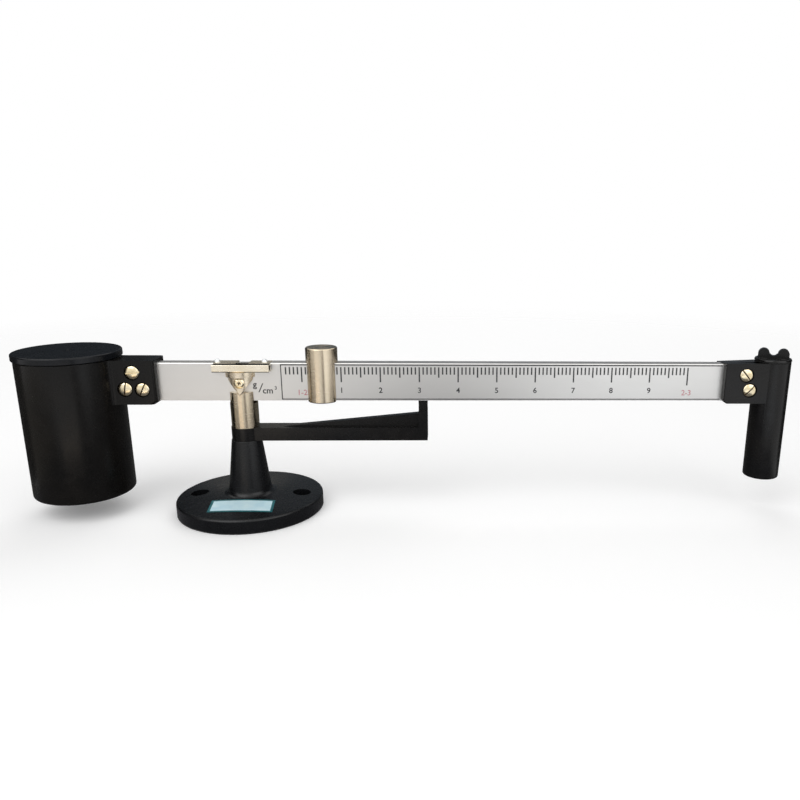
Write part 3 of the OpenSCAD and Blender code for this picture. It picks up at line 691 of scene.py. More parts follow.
def repeated(piece, count, step):
    """Repeats a printed mark along the beam."""
    again = piece.modifiers.new("again", "ARRAY")
    again.use_relative_offset = False
    again.use_constant_offset = True
    again.constant_offset_displace = (step, 0, 0)
    again.count = count
    take_up(piece)
    bpy.ops.object.modifier_apply(modifier=again.name)
    put_down()
    return piece


def figures(words, middle_x, middle_z, height, weight):
    """Printed figures or letters, centred on a point of the beam's front."""
    put_down()
    bpy.ops.object.text_add(location=(middle_x, print_face, middle_z), rotation=(math.radians(90), 0, 0))
    piece = bpy.context.object
    piece.data.body = words
    piece.data.align_x = "CENTER"
    piece.data.align_y = "CENTER"
    piece.data.size = height / figure_share
    piece.data.extrude = ink_depth
    piece.data.offset = weight
    piece.data.resolution_u = 4
    bpy.ops.object.convert(target="MESH")
    bpy.ops.object.transform_apply(location=True, rotation=True, scale=True)
    put_down()
    return piece


def gathered(name, group):
    """Joins loose pieces into one."""
    take_up(group[0])
    for piece in group:
        piece.select_set(True)
    bpy.ops.object.join()
    group[0].name = name
    put_down()
    return group[0]


def mark(x, foot):
    """One mark of the scale."""
    return stroke(x - mark_width / 2, foot, x + mark_width / 2, mark_top)


# Four short marks stand in each half of a numbered step, and a half mark or a long one after.
short_marks = repeated(repeated(mark(first_mark, short_mark_foot), 4, division), 21, 5 * division)
half_marks = repeated(mark(first_mark + 9 * division, half_mark_foot), 10, 10 * division)
long_marks = repeated(mark(first_mark + 4 * division, long_mark_foot), 10, 10 * division)
last_mark = mark(first_mark + 104 * division, last_mark_foot)
frame_lines = [
    stroke(frame_left, frame_top - frame_top_line, frame_right, frame_top),
    stroke(frame_left, frame_bottom, frame_right, frame_bottom + frame_line),
    stroke(frame_left, frame_bottom + frame_line, frame_left + frame_line, frame_top - frame_line)]
tenths = [figures(str(number), first_mark + (4 + 10 * number) * division, figure_middle, figure_height,
                  figure_weight) for number in range(1, 10)]
slash = stroke(slash_foot[0], slash_foot[1], slash_foot[0] + slash_width, slash_top)
hold(slash, lambda at: at.z > (slash_foot[1] + slash_top) / 2)
bpy.ops.transform.translate(value=(slash_lean, 0, 0))
put_down()
unit = [figures("g", *unit_gram_place, unit_height, unit_weight), slash,
        figures("cm", *unit_length_place, unit_height, unit_weight),
        figures("3", *power_place, power_height, power_weight)]
marks = [short_marks, half_marks, long_marks, last_mark]
black_print = gathered("scale_print", marks + frame_lines + tenths + unit)
red_print = gathered("scale_red_print", [
    figures(words, middle_x, red_figure_middle, figure_height, red_weight)
    for words, middle_x in red_figures])

black_ink, shader = finish("black_ink", (0.02, 0.02, 0.022), 0.5, specular=0.2)
tint(shader, grain(shader, 900), (0.02, 0.02, 0.022), (0.075, 0.075, 0.078))
spread(shader, grain(shader, 600), 0.4, 0.6)
red_ink, shader = finish("red_ink", (0.5, 0.19, 0.2), 0.5, specular=0.2)
tint(shader, grain(shader, 900), (0.46, 0.15, 0.17), (0.62, 0.34, 0.36))
spread(shader, grain(shader, 600), 0.4, 0.6)
dress(black_print, black_ink)
dress(red_print, red_ink)
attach(black_print, "beam")
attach(red_print, "beam")


# Mud cup
# A thick-walled black cup, moulded in one with the socket that takes the beam's left end,
# with a fillet down each side of it; three screw seats are sunk in the socket's front.
cup_low, cup_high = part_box("mud_cup")
cup_radius = cup_high.y
cup_axis = (cup_low.x + cup_radius, 0)
cup_wall = 5.35 * mm
cup_floor = cup_low.z + 7.4 * mm
cup_foot_rounding = 2 * mm
cup_rim_rounding = 0.6 * mm
cup_floor_rounding = 1.5 * mm
socket_half_width = 9.5 * mm
socket_bottom = 70.5 * mm
socket_top = 97.55 * mm
socket_chamfer = 1.9 * mm
cup_socket_rounding = 2.2 * mm
screw_seat_radius = 4.6 * mm
screw_seat_face = -7.5 * mm
cup_foot_flat = 10 * mm
hollow_foot_flat = 5 * mm
cup_weld = 2 * mm
cup_socket_inset = 0.3 * mm
fillet_radius = 3 * mm
fillet_weld = 2.5 * mm
fillet_sink = 0.1 * mm
fillet_reach = 2 * mm
fillet_middle_y = socket_half_width + fillet_radius
fillet_middle_x = cup_axis[0] + math.sqrt((cup_radius + fillet_radius) ** 2 - fillet_middle_y ** 2)
moulded_edge = 0.3 * mm
cup_screw_places = [((-62.8 * mm, 90.2 * mm), 6),
                    ((-67.8 * mm, 80.0 * mm), 81),
                    ((-57.6 * mm, 79.7 * mm), 65)]


def socket(inside_x, open_x, bottom, top, rounding):
    """The block round one end of the beam, chamfered below and rounded down its open end."""
    piece = bar((min(inside_x, open_x), -socket_half_width, bottom),
                (max(inside_x, open_x), socket_half_width, top))
    hold(piece, lambda at: abs(at.x - open_x) < near and at.z < bottom + near, "EDGE")
    bpy.ops.mesh.bevel(offset=socket_chamfer, segments=1)
    hold(piece, lambda at: abs(at.x - open_x) < socket_chamfer and abs(at.y) > socket_half_width - near
         and bottom + near < at.z < top - near, "EDGE")
    bpy.ops.mesh.bevel(offset=rounding, segments=6)
    put_down()
    return piece


cup = turned("cup_body", cup_axis, rounded_corners([
    (cup_foot_flat, cup_low.z, 0),
    (cup_radius, cup_low.z, cup_foot_rounding),
    (cup_radius, cup_high.z, cup_rim_rounding),
    (cup_radius - cup_wall + mm, cup_high.z, 0)]), sides=192)
joined(cup, socket(cup_axis[0] + cup_radius - cup_weld, cup_high.x - cup_socket_inset, socket_bottom,
                   socket_top, cup_socket_rounding), "UNION")
fillet_start_x = cup_axis[0] + cup_radius - fillet_weld
for side in (-1, 1):
    fillet = bar((fillet_start_x, side * (socket_half_width - fillet_sink), socket_bottom),
                 (fillet_middle_x, side * (socket_half_width + fillet_reach), socket_top))
    joined(fillet, rod(fillet_radius, (fillet_middle_x, side * fillet_middle_y, socket_bottom - mm),
                       (fillet_middle_x, side * fillet_middle_y, socket_top + mm), sides=96))
    joined(cup, fillet, "UNION")
joined(cup, turned("hollow", cup_axis, rounded_corners([
    (hollow_foot_flat, cup_floor, 0),
    (cup_radius - cup_wall, cup_floor, cup_floor_rounding),
    (cup_radius - cup_wall, cup_high.z + mm, 0)]), sides=192))
joined(cup, bar((beam_low.x, beam_low.y, beam_low.z), (cup_high.x + mm, beam_high.y, beam_high.z)))
for (x, z), turn in cup_screw_places:
    joined(cup, rod(screw_seat_radius, (x, -2 * socket_half_width, z), (x, screw_seat_face, z)))
softened(cup, moulded_edge)

cup_black, shader = finish("cup_moulding", (0.0052, 0.0047, 0.0042), 0.26, specular=0.2)
tint(shader, grain(shader, 40), (0.004, 0.0038, 0.0036), (0.0068, 0.006, 0.0052))
spread(shader, grain(shader, 160), 0.22, 0.3)
relief(shader, grain(shader, 1100, 2.0), 0.01 * mm)
relief(shader, grain(shader, 70, 2.0), 0.05 * mm, 0.4)
dress(cup, cup_black)
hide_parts("mud_cup")
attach(cup, "beam")


# Lid
# A black moulded disc that lies loose on the cup, with a ring under it that centres it and
# a vent hole in the middle.
lid_low, lid_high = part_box("cup_lid")
lid_radius = lid_high.y
lid_underside = 98.25 * mm
lid_rounding = 0.9 * mm
lid_small_rounding = 0.4 * mm
lid_ring_rounding = 0.5 * mm
lid_flat = 3 * mm
lid_edge = 0.2 * mm
lid_ring_outer = 23.8 * mm
lid_ring_inner = 21.8 * mm
vent_radius = 1.25 * mm

lid = turned("lid_disc", cup_axis, rounded_corners([
    (lid_flat, lid_underside, 0),
    (lid_ring_inner, lid_underside, 0),
    (lid_ring_inner, lid_low.z, lid_small_rounding),
    (lid_ring_outer, lid_low.z, lid_ring_rounding),
    (lid_ring_outer, lid_underside, 0),
    (lid_radius, lid_underside, lid_small_rounding),
    (lid_radius, lid_high.z, lid_rounding),
    (lid_flat, lid_high.z, 0)]), sides=192)
joined(lid, rod(vent_radius, (*cup_axis, lid_low.z), (*cup_axis, lid_high.z + mm)))
softened(lid, lid_edge, segments=2)

lid_black, shader = finish("lid_moulding", (0.005, 0.006, 0.0078), 0.24, specular=0.25)
tint(shader, grain(shader, 70), (0.004, 0.0047, 0.0062), (0.0062, 0.007, 0.0088))
spread(shader, grain(shader, 210), 0.2, 0.28)
relief(shader, grain(shader, 1200, 2.0), 0.012 * mm)
dress(lid, lid_black)
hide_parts("cup_lid")
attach(lid, "lid")


# Tail tube
# A black moulded tube, closed below, that balances the cup with lead shot; its socket takes
# the beam's right end, and the socket's top falls a little to its back corner.
tube_low, tube_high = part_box("balance_tube")
tube_radius = tube_high.y
tube_axis = (tube_high.x - tube_radius, 0)
tube_bore = 8.4 * mm
tube_floor = 24.65 * mm
tube_foot_rounding = 1.2 * mm
tail_front_top = 97.0 * mm
tail_back_top = 96.3 * mm
tail_corner_drop = 1.4 * mm
tail_socket_bottom = 71.2 * mm
tail_socket_rounding = 0.6 * mm
tube_foot_flat = 4 * mm
tube_rim_flat = 0.5 * mm
tail_screw_places = [((313.1 * mm, 89.2 * mm), -50), ((315.9 * mm, 79.7 * mm), 47)]

tube = turned("tail_tube", tube_axis, rounded_corners([
    (tube_foot_flat, tube_low.z, 0),
    (tube_radius, tube_low.z, tube_foot_rounding),
    (tube_radius, tube_high.z, 0),
    (tube_bore + tube_rim_flat, tube_high.z, 0)]), sides=160)
tail_socket = socket(tube_axis[0], tube_low.x, tail_socket_bottom, tube_high.z, tail_socket_rounding)
fall = bar((tube_low.x - mm, -socket_half_width - mm, tail_front_top),
           (tube_axis[0] + mm, socket_half_width + mm, 2 * tube_high.z))
hold(fall, lambda at: at.y > 0 and at.z < tail_front_top + mm)
bpy.ops.transform.translate(value=(0, 0, tail_back_top - tail_front_top))
hold(fall, lambda at: at.y > 0 and at.z < tail_front_top + mm and at.x < tube_low.x)
bpy.ops.transform.translate(value=(0, 0, -tail_corner_drop))
joined(tail_socket, fall)
joined(tube, tail_socket, "UNION")
joined(tube, rod(tube_bore, (*tube_axis, tube_floor), (*tube_axis, tube_high.z + mm), sides=160))
joined(tube, bar((tube_low.x - mm, beam_low.y, beam_low.z), (beam_high.x, beam_high.y, beam_high.z)))
for (x, z), turn in tail_screw_places:
    joined(tube, rod(screw_seat_radius, (x, -2 * socket_half_width, z), (x, screw_seat_face, z)))
softened(tube, moulded_edge)
dress(tube, moulding)
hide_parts("balance_tube")
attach(tube, "beam")


# Brass screws
# Slotted cheese-head screws of turned brass, lightly domed, that clamp the beam in its two
# sockets; the slots stand as they were left when the screws bit, and the slots of all but the
# cup's top one are painted dark brown, a painted shade in the slots.
brass_head_radius = 4.2 * mm
brass_head_height = 2.5 * mm
brass_crown_height = 1.3 * mm
brass_shank_radius = 1.9 * mm
brass_shank_length = 14 * mm
brass_slot_width = 0.8 * mm
brass_slot_depth = 1.5 * mm
brass_tip_chamfer = 0.5 * mm
brass_rim_rounding = 0.15 * mm
brass_edge = 0.1 * mm


def placed(piece, name, place, turn, tilt=90):
    """A copy of a screw that stands on the origin, turned on its axis, tilted forwards and set in place."""
    take_up(piece)
    bpy.ops.object.duplicate()
    copy = bpy.context.object
    copy.name = name
    copy.matrix_world = (Matrix.Translation(place) @ Matrix.Rotation(math.radians(tilt), 4, "X")
                         @ Matrix.Rotation(math.radians(turn), 4, "Z"))
    bpy.ops.object.transform_apply(location=True, rotation=True, scale=True)
    put_down()
    return copy


def touched_up(piece, paint, wanted):
    """Gives the wanted faces of a dressed piece a second finish."""
    piece.data.materials.append(paint)
    hold(piece, wanted, "FACE")
    piece.active_material_index = 1
    bpy.ops.object.material_slot_assign()
    put_down()


brass_crown = []
for degrees in range(10, 90, 8):
    angle = math.radians(degrees)
    brass_crown.append((brass_head_radius * math.cos(angle),
                        brass_head_height - brass_crown_height * (1 - math.sin(angle))))
brass_screw = turned("brass_screw", (0, 0), rounded_corners([
    (brass_shank_radius - brass_tip_chamfer, -brass_shank_length, 0),
    (brass_shank_radius, brass_tip_chamfer - brass_shank_length, 0),
    (brass_shank_radius, 0, 0),
    (brass_head_radius, 0, brass_rim_rounding),
    (brass_head_radius, brass_head_height - brass_crown_height, 0)]) + brass_crown, sides=96)
joined(brass_screw, bar((-2 * brass_head_radius, -brass_slot_width / 2, brass_head_height - brass_slot_depth),
                        (2 * brass_head_radius, brass_slot_width / 2, 2 * brass_head_height)))
softened(brass_screw, brass_edge, segments=2)

brass, shader = finish("turned_brass", (0.88, 0.76, 0.52), 0.24, metallic=1)
tint(shader, grain(shader, 300), (0.84, 0.70, 0.44), (0.92, 0.82, 0.60))
spread(shader, grain(shader, 900), 0.2, 0.28)
relief(shader, grain(shader, 1500), 0.001 * mm)
dress(brass_screw, brass)
(top_x, top_z), top_turn = cup_screw_places[0]
top_screw = placed(brass_screw, "cup_screw", (top_x, screw_seat_face, top_z), top_turn)
# Painted shade: a dark brown that darkens the screw slots and the cross recesses.
painted_slot_shade, shader = finish("painted_slot_shade", (0.10, 0.06, 0.03), 0.6, specular=0.2)
tint(shader, grain(shader, 700), (0.06, 0.035, 0.015), (0.15, 0.095, 0.05))
spread(shader, grain(shader, 700), 0.5, 0.7)
# The screws placed from here on get the painted slot shade; the cup's top screw, placed before, stays plain
# brass.
touched_up(brass_screw, painted_slot_shade, lambda at: abs(at.y) < brass_slot_width / 2 + near
           and at.z > brass_head_height - brass_slot_depth - near)
cup_screws = gathered("cup_screw_set", [top_screw] + [
    placed(brass_screw, "cup_screw", (x, screw_seat_face, z), turn) for (x, z), turn in cup_screw_places[1:]])
tube_screws = gathered("tail_screw_set", [
    placed(brass_screw, "tail_screw", (x, screw_seat_face, z), turn) for (x, z), turn in tail_screw_places])
bpy.data.objects.remove(brass_screw)
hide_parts("cup_screws")
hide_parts("tube_screws")
for piece in (cup_screws, tube_screws):
    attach(piece, "beam")


# Lead shot
# Loose grey lead balls on the tail tube's floor that set the zero of the scale.


def smooth_copy(node, name, from_angle=30):
    """A copy of a CAD node, merged and shaded smooth, with its edges left as they are."""
    piece = merged_copy(node, name, clean_flats=False)
    take_up(piece)
    bpy.ops.object.shade_smooth_by_angle(angle=math.radians(from_angle))
    put_down()
    return piece


shot = smooth_copy("lead_shot", "shot_load", 60)
lead, shader = finish("dull_lead", (0.17, 0.17, 0.18), 0.55, metallic=0.8)
tint(shader, grain(shader, 420), (0.12, 0.12, 0.13), (0.24, 0.24, 0.25))
spread(shader, grain(shader, 700), 0.45, 0.7)
relief(shader, grain(shader, 1000), 0.05 * mm)
dress(shot, lead)
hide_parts("lead_shot")
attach(shot, "beam")


# Plug washer
# A thin ring of black rubber between the tail tube's rim and the plug's shoulder.
seal_low, seal_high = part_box("plug_washer")
seal_rounding = 0.2 * mm
seal_edge = 0.08 * mm

seal = turned("plug_seal", tube_axis, rounded_corners([
    (tube_bore, seal_low.z, 0),
    (seal_high.y, seal_low.z, seal_rounding),
    (seal_high.y, seal_high.z, seal_rounding),
    (tube_bore, seal_high.z, 0)], steps=3), sides=128)
joined(seal, rod(tube_bore, (*tube_axis, seal_low.z - mm), (*tube_axis, seal_high.z + mm), sides=128))
softened(seal, seal_edge, segments=1)

rubber, shader = finish("black_rubber", (0.02, 0.02, 0.02), 0.7, specular=0.3)
tint(shader, grain(shader, 500), (0.015, 0.015, 0.015), (0.03, 0.03, 0.029))
spread(shader, grain(shader, 500), 0.6, 0.8)
relief(shader, grain(shader, 2200), 0.02 * mm)
dress(seal, rubber)
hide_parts("plug_washer")
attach(seal, "seal")


# Wing plug
# A black moulded plug screwed into the tail tube: a threaded spigot, a shoulder with a
# little draft, and a flat wing with two round lobes to turn it by.
plug_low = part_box("balance_plug")[0]
spigot_radius = 8.3 * mm
thread_root = 7.5 * mm
thread_pitch = 1.5 * mm
shoulder_bottom = 97.45 * mm
shoulder_top = 98.85 * mm
shoulder_radius = 11.5 * mm
shoulder_draft = 0.6 * mm
wing_width = 18.6 * mm
wing_thickness = 4.4 * mm
wing_height = 5.95 * mm
lobe_radius = 3.4 * mm
hollow_radius = 2.6 * mm
hollow_rise = 1.5 * mm
wing_turn = math.radians(-20)
wing_edge = 0.7 * mm
wing_sink = 0.5 * mm
plug_tip_height = 0.6 * mm
plug_tip_chamfer = 0.5 * mm
thread_runout = 0.4 * mm
crest_start, crest_end = 0.45 * thread_pitch, 0.55 * thread_pitch
shoulder_foot_rounding = 0.25 * mm
shoulder_rounding = 0.4 * mm
shoulder_flat = 3 * mm
plug_edge = 0.15 * mm

thread = [(thread_root - plug_tip_chamfer, plug_low.z)]
height = plug_low.z + plug_tip_height
while height + thread_pitch < shoulder_bottom - thread_runout:
    thread += [(thread_root, height), (spigot_radius, height + crest_start),
               (spigot_radius, height + crest_end), (thread_root, height + thread_pitch)]
    height += thread_pitch
plug = turned("wing_plug", tube_axis, thread + rounded_corners([
    (thread_root, shoulder_bottom, 0),
    (shoulder_radius, shoulder_bottom, shoulder_foot_rounding),
    (shoulder_radius - shoulder_draft, shoulder_top, shoulder_rounding),
    (shoulder_flat, shoulder_top, 0)]), sides=144)
wing_middle = wing_height - lobe_radius
wing = bar((-wing_width / 2, -wing_thickness / 2, -wing_sink),
           (wing_width / 2, wing_thickness / 2, wing_middle))
for side in (-1, 1):
    lobe_x = side * (wing_width / 2 - lobe_radius)
    joined(wing, rod(lobe_radius, (lobe_x, -wing_thickness / 2, wing_middle),
                     (lobe_x, wing_thickness / 2, wing_middle), sides=96), "UNION")
joined(wing, rod(hollow_radius, (0, -wing_thickness, wing_middle + hollow_rise),
                 (0, wing_thickness, wing_middle + hollow_rise), sides=96))
joined(wing, bar((-hollow_radius, -wing_thickness, wing_middle + hollow_rise),
                 (hollow_radius, wing_thickness, 2 * wing_height)))
softened(wing, wing_edge, segments=4)
wing.matrix_world = Matrix.Translation((*tube_axis, shoulder_top)) @ Matrix.Rotation(wing_turn, 4, "Z")
take_up(wing)
bpy.ops.object.transform_apply(location=True, rotation=True, scale=True)
joined(plug, wing, "UNION")
softened(plug, plug_edge, segments=2)
dress(plug, moulding)
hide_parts("balance_plug")
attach(plug, "plug")


# Knife blocks
# Two half-round brass blocks, nickel plated, screwed to the beam's front and back; each is
# ground to a knife edge below, and its collar carries the level. One screw holds each.
block_edge = 0.18 * mm
blocks = softened(merged_copy("knife_blocks", "knife_block_pair"), block_edge, segments=2)
plate, shader = finish("brushed_nickel", (0.76, 0.66, 0.51), 0.25, metallic=1)
tint(shader, grain(shader, 120, 4), (0.72, 0.62, 0.47), (0.80, 0.70, 0.55))
spread(shader, grain(shader, 400, 4, (0.2, 1, 1)), 0.2, 0.3)
relief(shader, grain(shader, 900, 2, (0.1, 1, 1)), 0.001 * mm)
dress(blocks, plate)
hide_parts("knife_blocks")
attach(blocks, "beam")

knife_screw_height = 83.6 * mm
knife_screw_seat = 7.2 * mm
knife_head_radius = 3.1 * mm
knife_head_height = 1.4 * mm
knife_crown_height = 0.6 * mm
knife_crown_inset = 0.9 * mm
knife_crown_fall = 0.05 * mm
knife_foot_rounding = 0.1 * mm
knife_rim_rounding = 0.25 * mm
knife_crown_rounding = 0.5 * mm
knife_top_flat = 0.4 * mm
knife_shank_radius = 1.5 * mm
knife_shank_length = 2 * mm
knife_screw_edge = 0.06 * mm
recess_length = 3.4 * mm
recess_width = 0.7 * mm
recess_cut = 0.9 * mm
recess_taper = (0.45, 0.8, 1)
recess_turn = -20
recess_margin = 0.1 * mm

cross_screw = turned("cross_screw", (0, 0), rounded_corners([
    (knife_shank_radius, -knife_shank_length, 0),
    (knife_shank_radius, 0, 0),
    (knife_head_radius, 0, knife_foot_rounding),
    (knife_head_radius, knife_head_height - knife_crown_height, knife_rim_rounding),
    (knife_head_radius - knife_crown_inset, knife_head_height - knife_crown_fall, knife_crown_rounding),
    (knife_top_flat, knife_head_height, 0)]), sides=64)
recess = bar((-recess_length / 2, -recess_width / 2, knife_head_height - recess_cut),
             (recess_length / 2, recess_width / 2, 2 * knife_head_height))
hold(recess, lambda at: at.z < knife_head_height)
bpy.ops.transform.resize(value=recess_taper, center_override=(0, 0, 0))
put_down()
take_up(recess)
bpy.ops.object.duplicate()
other_recess = bpy.context.object
other_recess.rotation_euler = (0, 0, math.radians(90))
bpy.ops.object.transform_apply(location=True, rotation=True, scale=True)
joined(recess, other_recess, "UNION")
joined(cross_screw, recess)
softened(cross_screw, knife_screw_edge, segments=2)
dress(cross_screw, brass)
# The cross recess is painted with the same dark brown, a painted shade in the recess.
touched_up(cross_screw, painted_slot_shade, lambda at: at.xy.length < recess_length / 2
           and recess_margin < at.z < knife_head_height - recess_margin)
block_screws = gathered("block_screw_pair", [
    placed(cross_screw, "block_screw", (0, -knife_screw_seat, knife_screw_height), recess_turn),
    placed(cross_screw, "block_screw", (0, knife_screw_seat, knife_screw_height), recess_turn, tilt=-90)])
bpy.data.objects.remove(cross_screw)
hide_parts("knife_screws")
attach(block_screws, "beam")


# Level
# A plated brass bar screwed to the beam's top over the knives, bored for a glass vial of
# green spirit with a bubble, with a sight window over it and a stopper in each end. The
# window's inner walls are painted near-black, a painted shade.
holder_low, holder_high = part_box("level_holder")
vial_low, vial_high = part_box("level_vial")
holder_plate = 0.8 * mm
holder_step = 0.5 * mm
holder_rounding = 0.35 * mm
holder_foot_rounding = 0.9 * mm
holder_bore = 1.75 * mm
window_left = -2.1 * mm
window_right = 5.4 * mm
window_lip = 0.8 * mm
window_back_wall = 0.3 * mm
plate_cut_overlap = 0.05 * mm
plate_overlap = 0.4 * mm
# How far back the painted window shade reaches, just short of the beam's front.
painted_shade_back_limit = beam_front - 0.15 * mm
holder_edge = 0.12 * mm
dome_screw_half_span = 14.3 * mm
dome_shank_radius = 0.95 * mm
dome_hole_radius = 1.15 * dome_shank_radius

vial_y, vial_z = (vial_low.y + vial_high.y) / 2, (vial_low.z + vial_high.z) / 2
holder = bar(holder_low, (holder_high.x, beam_front, holder_high.z - holder_step))
holder.name = "level_bar"
hold(holder, lambda at: at.y < holder_low.y + near and at.z < vial_z - holder_bore, "EDGE")
bpy.ops.mesh.bevel(offset=holder_foot_rounding, segments=5)
hold(holder, lambda at: at.y < holder_low.y + near and at.z > vial_z + holder_bore, "EDGE")
bpy.ops.mesh.bevel(offset=holder_rounding, segments=3)
put_down()
joined(holder, bar((holder_low.x, beam_front - plate_overlap, holder_high.z - holder_plate),
                   holder_high), "UNION")
joined(holder, rod(holder_bore, (holder_low.x - mm, vial_y, vial_z), (holder_high.x + mm, vial_y, vial_z)))
joined(holder, bar((window_left, holder_low.y + window_lip, vial_z),
                   (window_right, beam_front - window_back_wall, holder_high.z + mm)))
joined(holder, bar((window_left, beam_front - plate_cut_overlap, holder_high.z - holder_plate),
                   (window_right, holder_high.y + mm, holder_high.z + mm)))
for side in (-1, 1):
    joined(holder, rod(dome_hole_radius, (side * dome_screw_half_span, 0, holder_low.z),
                       (side * dome_screw_half_span, 0, holder_high.z + mm)))
softened(holder, holder_edge, segments=2)

level_plate, shader = finish("level_nickel", (0.86, 0.79, 0.64), 0.28, metallic=1)
tint(shader, grain(shader, 120, 4), (0.82, 0.74, 0.58), (0.90, 0.83, 0.69))
spread(shader, grain(shader, 500, 4, (0.1, 1, 1)), 0.24, 0.32)
relief(shader, grain(shader, 900, 2, (0.1, 1, 1)), 0.001 * mm)
# Painted shade: a near-black for the sight window's inner walls.
painted_window_shade, shader = finish("painted_window_shade", (0.012, 0.012, 0.012), 0.7, specular=0.1)
tint(shader, grain(shader, 600), (0.009, 0.009, 0.009), (0.016, 0.016, 0.015))
spread(shader, grain(shader, 600), 0.6, 0.8)
dress(holder, level_plate)
# The faces inside the sight window get the painted shade.
touched_up(holder, painted_window_shade, lambda at: window_left - near < at.x < window_right + near
           and holder_low.y + window_lip - near < at.y < painted_shade_back_limit
           and vial_z - holder_bore < at.z < holder_high.z - near)
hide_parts("level_holder")
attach(holder, "beam")

vial = smooth_copy("level_vial", "level_glass")
spirit = smooth_copy("vial_liquid", "level_spirit", 60)
stoppers = smooth_copy("vial_ends", "level_stoppers")
glass, shader = finish("vial_glass", (0.86, 0.93, 0.88), 0.03)
shader.inputs["Transmission Weight"].default_value = 1
shader.inputs["IOR"].default_value = 1.5
spread(shader, grain(shader, 800), 0.01, 0.05)
relief(shader, grain(shader, 300), 0.004 * mm)
green, shader = finish("green_spirit", (0.10, 0.22, 0.05), 0.03)
shader.inputs["Transmission Weight"].default_value = 1
shader.inputs["IOR"].default_value = 1.36
tint(shader, grain(shader, 200), (0.08, 0.19, 0.04), (0.13, 0.26, 0.07))
spread(shader, grain(shader, 400), 0.01, 0.04)
cork, shader = finish("stopper_putty", (0.66, 0.63, 0.55), 0.7, specular=0.3)
tint(shader, grain(shader, 900), (0.56, 0.53, 0.45), (0.74, 0.71, 0.63))
spread(shader, grain(shader, 900), 0.6, 0.8)
relief(shader, grain(shader, 1500), 0.04 * mm)
for piece, paint, node, slot in ((vial, glass, "level_vial", "vial_glass"),
                                 (spirit, green, "vial_liquid", "level_liquid"),
                                 (stoppers, cork, "vial_ends", "stopper")):
    dress(piece, paint)
    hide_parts(node)
    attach(piece, "beam")

dome_radius = 1.8 * mm
dome_slot_width = 0.4 * mm
dome_slot_depth = 0.6 * mm
dome_shank_length = 2 * mm
dome_edge = 0.05 * mm
dome_turns = {-1: 15, 1: -35}
dome_rings = [(dome_radius * math.cos(math.radians(degrees)), dome_radius * math.sin(math.radians(degrees)))
              for degrees in range(0, 89, 8)]
dome_screw = turned("dome_screw", (0, 0), [
    (dome_shank_radius, -dome_shank_length),
    (dome_shank_radius, 0)] + dome_rings, sides=64)
joined(dome_screw, bar((-2 * dome_radius, -dome_slot_width / 2, dome_radius - dome_slot_depth),
                       (2 * dome_radius, dome_slot_width / 2, 2 * dome_radius)))
softened(dome_screw, dome_edge, segments=2)
level_screws = gathered("level_screw_pair", [
    placed(dome_screw, "dome", (side * dome_screw_half_span, 0, beam_high.z), turn, tilt=0)
    for side, turn in dome_turns.items()])
bpy.data.objects.remove(dome_screw)
dome_zinc, shader = finish("dome_zinc", (0.86, 0.89, 0.90), 0.45, metallic=0.6, specular=0.4)
tint(shader, grain(shader, 500), (0.80, 0.84, 0.86), (0.92, 0.94, 0.95))
spread(shader, grain(shader, 700), 0.38, 0.52)
relief(shader, grain(shader, 1500), 0.003 * mm)
dress(level_screws, dome_zinc)
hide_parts("level_screws")
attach(level_screws, "beam")


# Rider
# A turned brass cylinder, nickel plated, slotted from below so that it sits astride the beam
# and slides along the scale; its edge is the index.
rider_low, rider_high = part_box("rider")
rider_radius = rider_high.y
rider_axis = ((rider_low.x + rider_high.x) / 2, 0)
rider_chamfer = 0.5 * mm
rider_slot_half = 4.55 * mm
rider_slot_top = 95.75 * mm
rider_edge = 0.15 * mm

rider = turned("rider_weight", rider_axis, [
    (rider_radius - rider_chamfer, rider_low.z),
    (rider_radius, rider_low.z + rider_chamfer),
    (rider_radius, rider_high.z - rider_chamfer),
    (rider_radius - rider_chamfer, rider_high.z)], sides=160)
joined(rider, bar((rider_low.x - mm, -rider_slot_half, rider_low.z - mm),
                  (rider_high.x + mm, rider_slot_half, rider_slot_top)))
softened(rider, rider_edge, segments=2)
dress(rider, turned_plate)
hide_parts("rider")
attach(rider, "rider")


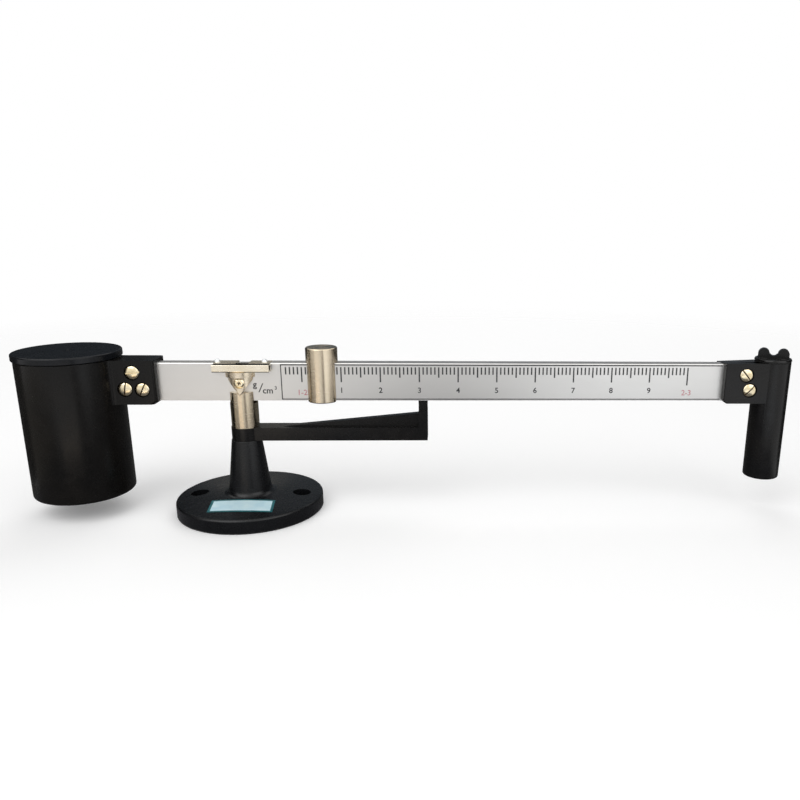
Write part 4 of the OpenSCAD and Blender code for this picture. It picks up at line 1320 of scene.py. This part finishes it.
# Label
# A printed foil label stuck on the foot's top in front of the post, its field left bare
# inside a teal border.
label_left, label_right = -20.0 * mm, 19.0 * mm
label_front_shift = 1.6 * mm
label_front, label_back = -33.0 * mm, -16.2 * mm
label_border = 1.5 * mm
label_thickness = 0.12 * mm
label_laid_from = 3 * rim_height
label_cuts = 9
label_foil = 1.5 * label_thickness

bpy.ops.mesh.primitive_plane_add(size=1, location=((label_left + label_right) / 2,
                                                   (label_front + label_back) / 2, label_laid_from))
label = bpy.context.object
label.name = "foot_label"
label.scale = (label_right - label_left, label_back - label_front, 1)
bpy.ops.object.transform_apply(location=True, rotation=True, scale=True)
hold(label, lambda at: at.y < (label_front + label_back) / 2)
bpy.ops.transform.translate(value=(label_front_shift, 0, 0))
put_down()
take_up(label)
label_teal, shader = finish("label_teal", (0.02, 0.13, 0.15), 0.4, specular=0.3)
tint(shader, grain(shader, 120), (0.015, 0.105, 0.12), (0.03, 0.17, 0.19))
spread(shader, grain(shader, 400), 0.32, 0.5)
label_pale, shader = finish("label_field", (0.62, 0.86, 0.93), 0.4, specular=0.3)
tint(shader, grain(shader, 130), (0.56, 0.80, 0.89), (0.70, 0.90, 0.95))
spread(shader, grain(shader, 400), 0.32, 0.5)
dress(label, label_teal)
label.data.materials.append(label_pale)
bpy.ops.object.mode_set(mode="EDIT")
bpy.ops.mesh.select_all(action="SELECT")
bpy.ops.mesh.inset(thickness=label_border)
label.active_material_index = 1
bpy.ops.object.material_slot_assign()
bpy.ops.mesh.select_all(action="SELECT")
bpy.ops.mesh.subdivide(number_cuts=label_cuts)
put_down()
lay = label.modifiers.new("lay", "SHRINKWRAP")
lay.target = foot
lay.wrap_method = "PROJECT"
lay.use_project_z = True
lay.use_negative_direction = True
lay.offset = label_thickness
thick = label.modifiers.new("thick", "SOLIDIFY")
thick.thickness = label_foil
thick.offset = -1
take_up(label)
bpy.ops.object.modifier_apply(modifier=lay.name)
bpy.ops.object.modifier_apply(modifier=thick.name)
put_down()
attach(label, "stand")
